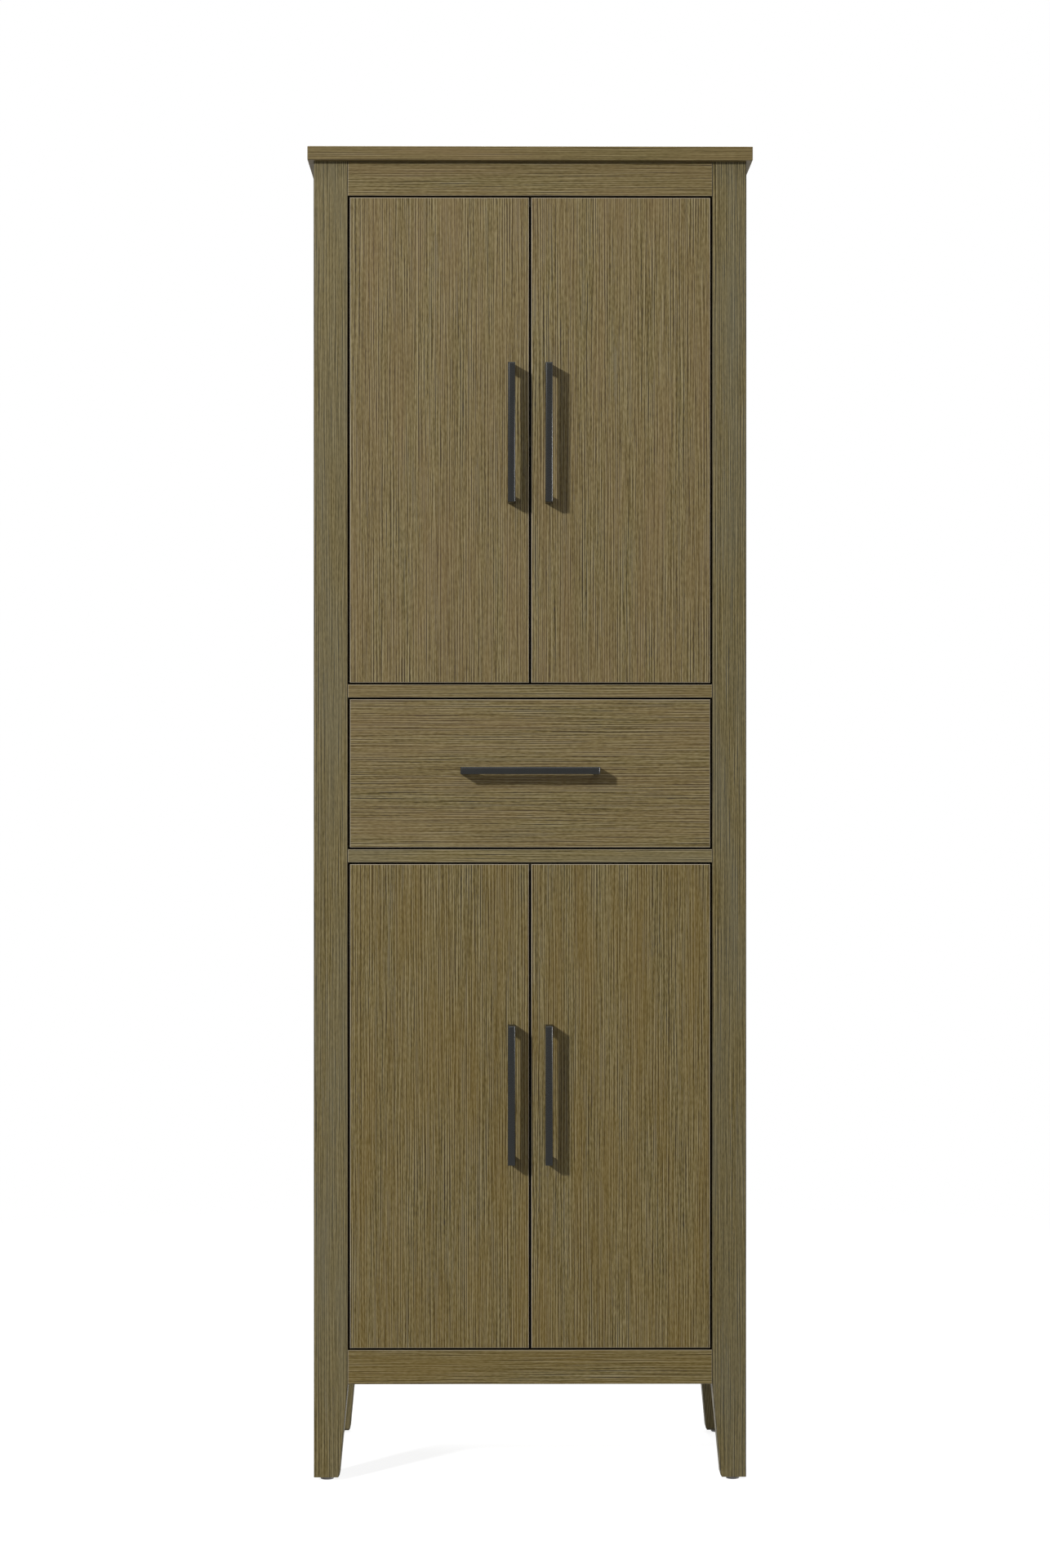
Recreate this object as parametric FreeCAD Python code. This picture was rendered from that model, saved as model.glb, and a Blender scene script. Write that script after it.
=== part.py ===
# Tall linen cabinet on four tapered legs: a pair of inset doors, one drawer, and a second pair of doors.
# Sizes are in millimetres. +X is to the right, +Y to the back and +Z up. The origin is on the floor, under
# the middle of the box that holds the cabinet and its pulls. The doors and the drawer are shut.
import FreeCAD, Part

import math
import os

V = FreeCAD.Vector
AXIS_X = V(1, 0, 0)
AXIS_Y = V(0, 1, 0)
AXIS_Z = V(0, 0, 1)
LEFT = -1
RIGHT = 1

# Overall sizes and the top board
HEIGHT = 1828.8
TOP_W = 609.6
TOP_D = 381.0
TOP_T = 19.0
TOP_SIDE_OVERHANG = 8.0
TOP_FRONT_OVERHANG = 10.0
EASE = 1.0  # rounding of the edges that show

# Legs, which run from the floor glides to the top board and taper on their two inner faces
LEG_W = 46.8
LEG_D = 48.0
LEG_TAPER = 11.8
LEG_CLEARANCE = 132.6  # floor to the underside of the bottom rail, where the taper starts
FOOT_CHAMFER = 1.5
FOOT_CHAMFER_H = 3.0
GLIDE_H = 5.0
GLIDE_R = 9.6
GLIDE_TIP_R = 9.2

# Rails of the face frame, and the rails behind
TOP_RAIL_H = 47.2
MID_RAIL_H = 18.0
BOTTOM_RAIL_H = 47.2
RAIL_D = 20.0
REAR_RAIL_H = 60.0
REAR_RAIL_T = 18.0
WALL_HOLE_R = 2.75
WALL_HOLE_SPACING = 400.0

# Boards of the carcass
SIDE_T = 15.0
SIDE_RECESS = 2.0  # how far a side panel lies behind the outer faces of the legs
PANEL_T = 18.0
BACK_T = 6.0
BACK_INSET = 6.0
NOTCH_GAP = 0.2  # play of a notched board around a leg

# Fronts
FRONT_T = 18.0
REVEAL = 2.4  # gap above and below a front
SIDE_REVEAL = 2.8  # gap beside a front
MEETING_GAP = 3.2  # gap between the two doors of a pair
LOWER_DOOR_H = 664.2
DRAWER_FRONT_H = 203.2

# Shelves
SHELF_T = 16.0
SHELF_SIDE_GAP = 1.0
SHELF_SETBACK = 4.0  # shelf edge behind the front legs
SHELF_BACK_GAP = 2.0
UPPER_SHELF_RISE = 330.0  # floor of the cupboard to the shelf's underside
LOWER_SHELF_RISE = 330.0
SHELF_PIN_R = 2.5
SHELF_PIN_IN = 9.0
SHELF_PIN_OUT = 9.0
SHELF_PIN_SETBACK = 40.0  # from a leg's inner end to the column of holes
SHELF_HOLE_PITCH = 32.0
SHELF_HOLES_EACH_WAY = 2
HOLE_PLAY = 0.1

# Dowels that join the boards, and the screws of the back
DOWEL_R = 4.0
DOWEL_L = 30.0
DOWEL_END_PLAY = 0.5
DOWEL_SPREAD = 24.0  # spacing of a pair of dowels in a rail's end
TOP_DOWEL_BITE = 10.0  # how far a dowel reaches into the top board
PANEL_DOWEL_BITE = 8.0  # how far a dowel reaches into a side panel
BACK_SCREW_SPACING = 200.0
SCREW_R = 1.7
SCREW_L = 14.0
SCREW_HEAD_R = 3.4
SCREW_HEAD_H = 1.6
SCREW_PLAY = 0.05

# Bar pulls
PULL_L = 190.5
PULL_W = 10.0
PULL_POST_L = 10.0
PULL_BAR_D = 10.0
PULL_PROJECTION = 32.0
PULL_CHAMFER = 1.5
PULL_EDGE = 24.0  # middle of a door's pull from the door's free edge
UPPER_PULL_RAISE = 8.5  # middle of the pull above the middle of the front
LOWER_PULL_RAISE = 17.0
DRAWER_PULL_RAISE = 4.0
PULL_SCREW_R = 2.0
PULL_SCREW_BITE = 10.0
PULL_SCREW_HEAD_R = 4.5
PULL_SCREW_HEAD_H = 2.2
PULL_THREAD_DEPTH = 12.0
PULL_SCREW_HOLE_PLAY = 0.3

# Concealed hinges: a cup in the door, an arm on the leg and one pin
HINGE_INSET = 90.0  # hinge from the door's top or bottom edge
CUP_R = 17.5
CUP_EDGE = 4.0  # door edge to the cup's bore
CUP_DEPTH = 12.8
CUP_WALL = 1.0
CUP_FLOOR = 0.8
FLANGE_T = 1.5
FLANGE_RIM = 1.0
FLANGE_W = 16.0
FLANGE_L = 56.0
HINGE_PIN_R = 1.6
HINGE_PIN_END_PLAY = 0.2
HINGE_RUN_GAP = 0.05
KNUCKLE_R = 3.2
KNUCKLE_GAP = 0.3
SWING_GAP = 0.45  # least gap between a door's corner and the leg as the door swings
ARM_T = 3.0
ARM_W = 13.0
ARM_LEAVE_DEG = 35.0  # way that the arm leaves the pin, from the cabinet's width
ARM_GAP = 1.6
ARM_FOOT_L = 11.0
PLATE_T = 3.0
PLATE_H = 44.0
PLATE_D = 19.0
PLATE_LEAD = 6.0  # plate in front of the arm's web
PLATE_SCREW_SPREAD = 32.0

# Stops for the doors
STOP_T = 18.0
STOP_DROP = 12.0
STOP_LAP = 20.0
STOP_L = 260.0
BUMPER_R = 4.0
BUMPER_GAP = 0.2
BUMPER_DROP = 6.0
BUMPER_X = (40.0, 110.0)

# Drawer box and its runners
BOX_T = 12.0
BOX_H = 150.0
BOX_L = 300.0
BOX_RISE = 20.0  # drawer front's lower edge to the box's lower edge
BOX_BOTTOM_T = 6.0
BOX_BOTTOM_RISE = 10.0
GROOVE_DEPTH = 6.0
GROOVE_PLAY = 0.2
SLIDE_T = 12.7
SLIDE_H = 45.0
SLIDE_GAUGE = 1.2
SLIDE_GAP = 0.3
SLIDE_LIP = 1.5  # how far the cabinet's member stays clear of the drawer's side
SLIDE_RISE = 60.0  # box's lower edge to the slide's middle
SLIDE_SETBACK = 2.0
BATTEN_T = 18.0
BATTEN_H = 60.0

# Places worked out from the sizes above
CARCASS_W = TOP_W - 2 * TOP_SIDE_OVERHANG
CARCASS_D = TOP_D - TOP_FRONT_OVERHANG
FRONT_Y = (PULL_PROJECTION - CARCASS_D) / 2
BACK_Y = FRONT_Y + CARCASS_D
OPEN_W = CARCASS_W - 2 * LEG_W
HALF_OPEN = OPEN_W / 2
SIDE_OUTER = CARCASS_W / 2 - SIDE_RECESS
SIDE_INNER = SIDE_OUTER - SIDE_T
TOP_Z = HEIGHT - TOP_T
RAIL_BACK = FRONT_Y + RAIL_D
FRONT_LEG_BACK = FRONT_Y + LEG_D
REAR_LEG_FRONT = BACK_Y - LEG_D
FRONT_BACK = FRONT_Y + FRONT_T
BACK_PANEL_FRONT = BACK_Y - BACK_INSET - BACK_T
REAR_RAIL_FRONT = BACK_PANEL_FRONT - REAR_RAIL_T

BOTTOM_RAIL_TOP = LEG_CLEARANCE + BOTTOM_RAIL_H
LOWER_RAIL_Z = BOTTOM_RAIL_TOP + LOWER_DOOR_H + 2 * REVEAL
LOWER_RAIL_TOP = LOWER_RAIL_Z + MID_RAIL_H
UPPER_RAIL_Z = LOWER_RAIL_TOP + DRAWER_FRONT_H + 2 * REVEAL
UPPER_RAIL_TOP = UPPER_RAIL_Z + MID_RAIL_H
TOP_RAIL_Z = TOP_Z - TOP_RAIL_H
REAR_TOP_RAIL_Z = TOP_Z - REAR_RAIL_H
WALL_HOLE_Z = TOP_Z - REAR_RAIL_H / 2
UPPER_SHELF_Z = UPPER_RAIL_TOP + UPPER_SHELF_RISE
LOWER_SHELF_Z = BOTTOM_RAIL_TOP + LOWER_SHELF_RISE

DOOR_W = (OPEN_W - 2 * SIDE_REVEAL - MEETING_GAP) / 2
DOORS = {
    "upper": (UPPER_RAIL_TOP + REVEAL, TOP_RAIL_Z - REVEAL, UPPER_PULL_RAISE),
    "lower": (BOTTOM_RAIL_TOP + REVEAL, LOWER_RAIL_Z - REVEAL, LOWER_PULL_RAISE),
}
DOOR_PULL_X = MEETING_GAP / 2 + PULL_EDGE
PULL_HOLE_SPREAD = PULL_L - PULL_POST_L

DRAWER_Z = LOWER_RAIL_TOP + REVEAL
DRAWER_PULL_Z = DRAWER_Z + DRAWER_FRONT_H / 2 + DRAWER_PULL_RAISE
BOX_HALF_W = HALF_OPEN - SLIDE_T
BOX_INNER = BOX_HALF_W - BOX_T
BOX_Z = DRAWER_Z + BOX_RISE
BOX_BACK = FRONT_BACK + BOX_L
SLIDE_Y = FRONT_BACK + SLIDE_SETBACK
SLIDE_L = BOX_L  # the slides are as long as the box
SLIDE_Z = BOX_Z + SLIDE_RISE

# The hinge pin lies just clear of the cup's floor, and far enough in for the door's corner to pass the leg.
PIVOT_DEPTH = FRONT_T - CUP_DEPTH + CUP_FLOOR + KNUCKLE_R + KNUCKLE_GAP
CORNER_THROW = SIDE_REVEAL - SWING_GAP
PIVOT_IN = (PIVOT_DEPTH**2 - CORNER_THROW**2) / (2 * CORNER_THROW)
CORNER_SWEEP = PIVOT_IN + CORNER_THROW
PIVOT_X = -HALF_OPEN + SIDE_REVEAL + PIVOT_IN
PIVOT_Y = FRONT_Y + PIVOT_DEPTH
CUP_X = -HALF_OPEN + SIDE_REVEAL + CUP_EDGE + CUP_R
ARM_WEB_Y = PIVOT_Y + CORNER_SWEEP + ARM_GAP + ARM_T / 2
PLATE_Y = ARM_WEB_Y - PLATE_LEAD
PLATE_FACE_X = -HALF_OPEN + PLATE_T


# Shapes that the pieces share
def box(x0, x1, y0, y1, z0, z1):
    return Part.makeBox(x1 - x0, y1 - y0, z1 - z0, V(x0, y0, z0))


def rod(start, axis, radius, length):
    return Part.makeCylinder(radius, length, start, axis)


def handed(shape, hand):
    """A shape drawn for the left side, or its mirror image for the right side."""
    return shape if hand == LEFT else shape.mirror(V(0, 0, 0), AXIS_X)


def prism(points, axis):
    """A polygon pushed along an axis."""
    return Part.Face(Part.makePolygon([*points, points[0]])).extrude(axis)


def reaching(cutters, board):
    return [c for c in cutters if c.BoundBox.intersect(board.BoundBox)]


def bored(board, cutters):
    """The board with every cutter that reaches it taken out."""
    near = reaching(cutters, board)
    return board.cut(near) if near else board


def eased_front(board):
    """The board with the edges of its front face rounded."""
    front = board.BoundBox.YMin
    edges = [e for e in board.Edges if all(abs(v.Y - front) < EASE / 2 for v in e.Vertexes)]
    return board.makeFillet(EASE, edges)


def screw(seat, axis, shank_r, shank_l, head_r, head_h):
    """A pan-head screw whose head sits at seat and whose shank runs along axis."""
    head = rod(seat - axis * head_h, axis, head_r, head_h)
    rim = [e for e in head.Edges if e.BoundBox.Center.distanceToPoint(seat - axis * head_h) < head_h / 4]
    head = head.makeFillet(head_h / 2, rim)
    return head.fuse(rod(seat, axis, shank_r, shank_l)).removeSplitter()


def wood_screw(seat, axis):
    return screw(seat, axis, SCREW_R, SCREW_L, SCREW_HEAD_R, SCREW_HEAD_H)


def rounded_rectangle(x0, x1, y0, y1, z, radius):
    """A closed wire with four straight sides and four round corners."""
    bulge = radius * (1 - math.sqrt(0.5))
    corners = (
        ((x1 - radius, y0), (x1 - bulge, y0 + bulge), (x1, y0 + radius)),
        ((x1, y1 - radius), (x1 - bulge, y1 - bulge), (x1 - radius, y1)),
        ((x0 + radius, y1), (x0 + bulge, y1 - bulge), (x0, y1 - radius)),
        ((x0, y0 + radius), (x0 + bulge, y0 + bulge), (x0 + radius, y0)),
    )
    edges = []
    for number, corner in enumerate(corners):
        start, middle, end = (V(x, y, z) for x, y in corner)
        following = corners[(number + 1) % len(corners)][0]
        edges.append(Part.Arc(start, middle, end).toShape())
        edges.append(Part.LineSegment(end, V(*following, z)).toShape())
    return Part.Wire(edges)


# Places of the dowels and screws, which the boards they join are bored for
def dowel_sites():
    """Middle and axis of every dowel."""
    sites = []
    pair = (-DOWEL_SPREAD / 2, DOWEL_SPREAD / 2)
    rail_y = (FRONT_Y + RAIL_BACK) / 2
    rear_y = REAR_RAIL_FRONT + REAR_RAIL_T / 2
    bottom_panel_z = BOTTOM_RAIL_TOP - PANEL_T
    rail_heights = [TOP_RAIL_Z + TOP_RAIL_H / 2 + s for s in pair]
    rail_heights += [LEG_CLEARANCE + BOTTOM_RAIL_H / 2 + s for s in pair]
    rail_heights += [LOWER_RAIL_Z + MID_RAIL_H / 2, UPPER_RAIL_Z + MID_RAIL_H / 2]
    rear_heights = [WALL_HOLE_Z + s for s in pair]
    rear_heights += [(LEG_CLEARANCE + bottom_panel_z) / 2]
    panel_tops = (BOTTOM_RAIL_TOP, LOWER_RAIL_TOP, UPPER_RAIL_TOP)
    side_x = (SIDE_INNER + SIDE_OUTER) / 2
    side_middle = (LEG_CLEARANCE + TOP_Z) / 2
    side_heights = (LEG_CLEARANCE + LEG_W, side_middle, TOP_Z - LEG_W)
    leg_ys = (FRONT_LEG_BACK, REAR_LEG_FRONT)
    top_bite = DOWEL_L / 2 - TOP_DOWEL_BITE
    side_bite = DOWEL_L / 2 - PANEL_DOWEL_BITE
    for hand in (LEFT, RIGHT):
        sites += [(V(hand * HALF_OPEN, rail_y, z), AXIS_X) for z in rail_heights]
        sites += [(V(hand * HALF_OPEN, rear_y, z), AXIS_X) for z in rear_heights]
        sites += [(V(hand * side_x, y, z), AXIS_Y) for y in leg_ys for z in side_heights]
        sites += [(V(hand * (HALF_OPEN + BATTEN_T / 2), y, SLIDE_Z), AXIS_Y) for y in leg_ys]
        for y in (FRONT_Y + LEG_D / 2, BACK_Y - LEG_D / 2):
            sites.append((V(hand * (CARCASS_W - LEG_W) / 2, y, TOP_Z - top_bite), AXIS_Z))
        for z in panel_tops:
            for y in (FRONT_LEG_BACK + LEG_D, REAR_LEG_FRONT - LEG_D):
                sites.append((V(hand * (SIDE_INNER - side_bite), y, z - PANEL_T / 2), AXIS_X))
    return sites


def dowel(site, play=0.0, end_play=0.0):
    middle, axis = site
    half = DOWEL_L / 2 + end_play
    return rod(middle - axis * half, axis, DOWEL_R + play, 2 * half)


def wall_holes():
    start = V(0, REAR_RAIL_FRONT - REAR_RAIL_T, WALL_HOLE_Z)
    length = BACK_Y - start.y
    return [
        rod(start + AXIS_X * (hand * WALL_HOLE_SPACING / 2), AXIS_Y, WALL_HOLE_R, length)
        for hand in (LEFT, RIGHT)
    ]


def back_screw_seats():
    """Where the screws of the back panel bite into the boards in front of it."""
    heights = (
        TOP_Z - REAR_RAIL_H / 2,
        UPPER_RAIL_TOP - PANEL_T / 2,
        LOWER_RAIL_TOP - PANEL_T / 2,
        BOTTOM_RAIL_TOP - PANEL_T / 2,
    )
    half = BACK_SCREW_SPACING / 2
    return [V(x, BACK_Y - BACK_INSET, z) for z in heights for x in (-half, 0.0, half)]


def hinge_heights(z0, z1):
    return (z0 + HINGE_INSET, z1 - HINGE_INSET)


def plate_screw_seats(hinge_z):
    """Two screws through the plate and one through the arm's foot, for a hinge on the left."""
    y = ARM_WEB_Y + ARM_FOOT_L / 2
    half = PLATE_SCREW_SPREAD / 2
    seats = [V(PLATE_FACE_X, y, hinge_z + s) for s in (-half, half)]
    return [*seats, V(PLATE_FACE_X + ARM_T, y, hinge_z)]


def all_plate_screw_seats():
    return [s for z0, z1, _ in DOORS.values() for z in hinge_heights(z0, z1) for s in plate_screw_seats(z)]


def screw_pilot(seat, axis):
    return rod(seat, axis, SCREW_R + SCREW_PLAY, SCREW_L + SCREW_PLAY)


def frame_cutters():
    """Every bore that the boards of the carcass share."""
    cutters = [dowel(site, HOLE_PLAY, DOWEL_END_PLAY) for site in dowel_sites()]
    cutters += wall_holes()
    cutters += [screw_pilot(seat, V(0, -1, 0)) for seat in back_screw_seats()]
    for seat in all_plate_screw_seats():
        pilot = screw_pilot(seat, V(-1, 0, 0))
        cutters += [handed(pilot, hand) for hand in (LEFT, RIGHT)]
    return cutters


# Carcass
def leg(hand, rear):
    """A square leg, straight down to the bottom rail and tapered on its two inner faces below it."""
    outer_x = hand * CARCASS_W / 2
    outer_y = BACK_Y if rear else FRONT_Y
    inward_y = -1 if rear else 1

    def section(z, run_in):
        xs = sorted((outer_x, outer_x - hand * (LEG_W - run_in)))
        ys = sorted((outer_y, outer_y + inward_y * (LEG_D - run_in)))
        return rounded_rectangle(*xs, *ys, z, EASE)

    shoulder = GLIDE_H + FOOT_CHAMFER_H
    slope = LEG_TAPER / (LEG_CLEARANCE - GLIDE_H)
    sections = [
        section(GLIDE_H, LEG_TAPER + FOOT_CHAMFER),
        section(shoulder, slope * (LEG_CLEARANCE - shoulder)),
        section(LEG_CLEARANCE, 0.0),
    ]
    foot = Part.makeLoft(sections, True, True)
    post = Part.Face(section(LEG_CLEARANCE, 0.0)).extrude(AXIS_Z * (TOP_Z - LEG_CLEARANCE))
    return post.fuse(foot).removeSplitter()


def foot_glides():
    """A nail-on glide under the middle of each foot."""
    inset_x = (LEG_W - LEG_TAPER) / 2
    inset_y = (LEG_D - LEG_TAPER) / 2
    places = [
        V(hand * (CARCASS_W / 2 - inset_x), y, 0)
        for hand in (LEFT, RIGHT)
        for y in (FRONT_Y + inset_y, BACK_Y - inset_y)
    ]
    return [Part.makeCone(GLIDE_TIP_R, GLIDE_R, GLIDE_H, place, AXIS_Z) for place in places]


def top_board():
    board = box(-TOP_W / 2, TOP_W / 2, BACK_Y - TOP_D, BACK_Y, TOP_Z, HEIGHT)
    return board.makeFillet(EASE, board.Edges)


def face_rail(z0, height):
    return eased_front(box(-HALF_OPEN, HALF_OPEN, FRONT_Y, RAIL_BACK, z0, z0 + height))


def rear_rail(z0, z1):
    return box(-HALF_OPEN, HALF_OPEN, REAR_RAIL_FRONT, BACK_PANEL_FRONT, z0, z1)


def shelf_hole_columns():
    return (FRONT_LEG_BACK + SHELF_PIN_SETBACK, REAR_LEG_FRONT - SHELF_PIN_SETBACK)


def shelf_pin_height(shelf_z):
    return shelf_z - SHELF_PIN_R


def side_panel(hand):
    """A side panel between its two legs, with the columns of holes for the shelf pins."""
    panel = box(-SIDE_OUTER, -SIDE_INNER, FRONT_LEG_BACK, REAR_LEG_FRONT, LEG_CLEARANCE, TOP_Z)
    steps = range(-SHELF_HOLES_EACH_WAY, SHELF_HOLES_EACH_WAY + 1)
    holes = [
        rod(
            V(-SIDE_INNER, y, shelf_pin_height(shelf_z) + step * SHELF_HOLE_PITCH),
            V(-1, 0, 0),
            SHELF_PIN_R + HOLE_PLAY,
            SHELF_PIN_IN + HOLE_PLAY,
        )
        for shelf_z in (UPPER_SHELF_Z, LOWER_SHELF_Z)
        for y in shelf_hole_columns()
        for step in steps
    ]
    return handed(panel.cut(holes), hand)


def notched_board(half_outline, z0, thickness):
    """A flat board that is the same on the left and the right, from the corners of its right half."""
    points = [V(x, y, z0) for x, y in half_outline]
    points += [V(-x, y, z0) for x, y in reversed(half_outline)]
    return prism(points, AXIS_Z * thickness)


def divider(top_z):
    """A fixed board behind a rail, notched round the four legs."""
    notch_x = HALF_OPEN - NOTCH_GAP
    front_notch = FRONT_LEG_BACK + NOTCH_GAP
    rear_notch = REAR_LEG_FRONT - NOTCH_GAP
    outline = [
        (notch_x, RAIL_BACK),
        (notch_x, front_notch),
        (SIDE_INNER, front_notch),
        (SIDE_INNER, rear_notch),
        (notch_x, rear_notch),
        (notch_x, BACK_PANEL_FRONT),
    ]
    return notched_board(outline, top_z - PANEL_T, PANEL_T)


def shelf(z0):
    """A loose shelf on four pins, notched round the rear legs."""
    half_w = SIDE_INNER - SHELF_SIDE_GAP
    notch_x = HALF_OPEN - SHELF_SIDE_GAP
    rear_notch = REAR_LEG_FRONT - SHELF_SIDE_GAP
    outline = [
        (half_w, FRONT_LEG_BACK + SHELF_SETBACK),
        (half_w, rear_notch),
        (notch_x, rear_notch),
        (notch_x, BACK_PANEL_FRONT - SHELF_BACK_GAP),
    ]
    return eased_front(notched_board(outline, z0, SHELF_T))


def shelf_pins():
    start = -SIDE_INNER - SHELF_PIN_IN
    pin_l = SHELF_PIN_IN + SHELF_PIN_OUT
    return [
        handed(rod(V(start, y, shelf_pin_height(shelf_z)), AXIS_X, SHELF_PIN_R, pin_l), hand)
        for shelf_z in (UPPER_SHELF_Z, LOWER_SHELF_Z)
        for y in shelf_hole_columns()
        for hand in (LEFT, RIGHT)
    ]


def back_panel():
    return box(-HALF_OPEN, HALF_OPEN, BACK_PANEL_FRONT, BACK_PANEL_FRONT + BACK_T, LEG_CLEARANCE, TOP_Z)


def slide_batten(hand):
    """A batten between the legs that carries a drawer slide flush with their inner faces."""
    batten = box(
        -HALF_OPEN - BATTEN_T,
        -HALF_OPEN,
        FRONT_LEG_BACK,
        REAR_LEG_FRONT,
        SLIDE_Z - BATTEN_H / 2,
        SLIDE_Z + BATTEN_H / 2,
    )
    return handed(batten, hand)


def door_stops():
    """A strip behind the top rail, and one under the board behind the lower rail."""
    half = STOP_L / 2
    rail_undersides = ((TOP_RAIL_Z, STOP_LAP), (LOWER_RAIL_TOP - PANEL_T, 0.0))
    return [
        box(-half, half, RAIL_BACK, RAIL_BACK + STOP_T, z - STOP_DROP, z + lap)
        for z, lap in rail_undersides
    ]


def door_bumpers():
    """Soft dots on the stops, which the doors close against."""
    thickness = RAIL_D - FRONT_T - BUMPER_GAP
    return [
        rod(V(hand * x, RAIL_BACK, z - BUMPER_DROP), V(0, -1, 0), BUMPER_R, thickness)
        for z in (TOP_RAIL_Z, LOWER_RAIL_TOP - PANEL_T)
        for x in BUMPER_X
        for hand in (LEFT, RIGHT)
    ]


# Pulls
def bar_pull():
    """A square bar on two end posts, standing on the plane y = 0 with its length along Z."""
    half_l = PULL_L / 2
    half_w = PULL_W / 2
    blank = box(-half_w, half_w, -PULL_PROJECTION, 0, -half_l, half_l)
    gap_z = half_l - PULL_POST_L
    pull = blank.cut(box(-half_w, half_w, PULL_BAR_D - PULL_PROJECTION, 0, -gap_z, gap_z))
    face = -PULL_PROJECTION
    edges = [e for e in pull.Edges if all(abs(v.Y - face) < PULL_CHAMFER / 2 for v in e.Vertexes)]
    pull = pull.makeChamfer(PULL_CHAMFER, edges)
    threads = [
        rod(V(0, 0, s * PULL_HOLE_SPREAD / 2), V(0, -1, 0), PULL_SCREW_R + SCREW_PLAY, PULL_THREAD_DEPTH)
        for s in (-1, 1)
    ]
    return pull.cut(threads)


def upright_pull(x, z):
    pull = bar_pull()
    pull.translate(V(x, FRONT_Y, z))
    return pull


def level_pull(z):
    pull = bar_pull()
    pull.rotate(V(0, 0, 0), AXIS_Y, 90)
    pull.translate(V(0, FRONT_Y, z))
    return pull


def pull_screw_holes(places, depth):
    radius = PULL_SCREW_R + PULL_SCREW_HOLE_PLAY
    return [rod(V(x, FRONT_Y, z), AXIS_Y, radius, depth) for x, z in places]


def pull_screws(places, grip):
    """Machine screws from behind a front into its pull."""
    return [
        screw(
            V(x, FRONT_Y + grip, z),
            V(0, -1, 0),
            PULL_SCREW_R,
            grip + PULL_SCREW_BITE,
            PULL_SCREW_HEAD_R,
            PULL_SCREW_HEAD_H,
        )
        for x, z in places
    ]


# Doors and their hinges
def door_pull_places(hand, z0, z1, pull_raise):
    middle = (z0 + z1) / 2 + pull_raise
    return [(hand * DOOR_PULL_X, middle + s * PULL_HOLE_SPREAD / 2) for s in (-1, 1)]


def door(hand, z0, z1, pull_raise):
    outer_x = HALF_OPEN - SIDE_REVEAL
    panel = eased_front(box(-outer_x, DOOR_W - outer_x, FRONT_Y, FRONT_BACK, z0, z1))
    bores = [rod(V(CUP_X, FRONT_BACK, z), V(0, -1, 0), CUP_R, CUP_DEPTH) for z in hinge_heights(z0, z1)]
    bores += pull_screw_holes(door_pull_places(LEFT, z0, z1, pull_raise), FRONT_T)
    return handed(panel.cut(bores), hand)


def hinge_pin(hinge_z):
    """The pin across a cup, for a hinge on the left. Its ends stay inside the cup's bore."""
    reach = abs(PIVOT_X - CUP_X) + HINGE_PIN_R
    half = math.sqrt(CUP_R**2 - reach**2) - HINGE_PIN_END_PLAY
    return rod(V(PIVOT_X, PIVOT_Y, hinge_z - half), AXIS_Z, HINGE_PIN_R, 2 * half)


def hinge_cup(hinge_z):
    """A drawn cup with a flange on the door's back, for a hinge on the left."""
    floor_y = FRONT_BACK - CUP_DEPTH
    flange_y = FRONT_BACK + FLANGE_T
    centre = V(CUP_X, floor_y, hinge_z)
    half_l = FLANGE_L / 2
    ears = box(
        CUP_X - FLANGE_W / 2, CUP_X + FLANGE_W / 2, FRONT_BACK, flange_y, hinge_z - half_l, hinge_z + half_l
    )
    corners = [e for e in ears.Edges if abs(e.tangentAt(e.FirstParameter).y) > 0.5]
    ears = ears.makeFillet(FLANGE_W / 3, corners)
    rim = rod(V(CUP_X, FRONT_BACK, hinge_z), AXIS_Y, CUP_R + FLANGE_RIM, FLANGE_T)
    shell = rod(centre, AXIS_Y, CUP_R, CUP_DEPTH).fuse([rim, ears])
    hollow = rod(centre + AXIS_Y * CUP_FLOOR, AXIS_Y, CUP_R - CUP_WALL, CUP_DEPTH + FLANGE_T)
    return shell.cut([hollow, hinge_pin(hinge_z)]).removeSplitter()


def arm_corners():
    """Corners of the arm's middle line, from the pin round the door's edge to the plate on the leg."""
    angle = math.radians(ARM_LEAVE_DEG)
    reach = CORNER_SWEEP + ARM_GAP
    turn_x = PIVOT_X + reach * math.cos(angle)
    foot_x = PLATE_FACE_X + ARM_T / 2
    return [
        (PIVOT_X, PIVOT_Y),
        (turn_x, PIVOT_Y + reach * math.sin(angle)),
        (turn_x, ARM_WEB_Y - ARM_T),
        (turn_x - ARM_T, ARM_WEB_Y),
        (foot_x, ARM_WEB_Y),
        (foot_x, ARM_WEB_Y + ARM_FOOT_L),
    ]


def hinge_arm(hinge_z):
    """A bent steel arm with an eye on the pin, for a hinge on the left."""
    z0 = hinge_z - ARM_W / 2
    corners = arm_corners()
    pieces = []
    for (ax, ay), (bx, by) in zip(corners, corners[1:]):
        length = math.hypot(bx - ax, by - ay)
        run = Part.makeBox(length, ARM_T, ARM_W, V(0, -ARM_T / 2, 0))
        run.rotate(V(0, 0, 0), AXIS_Z, math.degrees(math.atan2(by - ay, bx - ax)))
        run.translate(V(ax, ay, z0))
        pieces.append(run)
    pieces += [rod(V(x, y, z0), AXIS_Z, ARM_T / 2, ARM_W) for x, y in corners[1:-1]]
    eye = rod(V(PIVOT_X, PIVOT_Y, z0), AXIS_Z, KNUCKLE_R, ARM_W)
    pin_bore = rod(V(PIVOT_X, PIVOT_Y, z0), AXIS_Z, HINGE_PIN_R + HINGE_RUN_GAP, ARM_W)
    clamp_seat = plate_screw_seats(hinge_z)[-1]
    return eye.fuse(pieces).cut([pin_bore, screw_pilot(clamp_seat, V(-1, 0, 0))]).removeSplitter()


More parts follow.
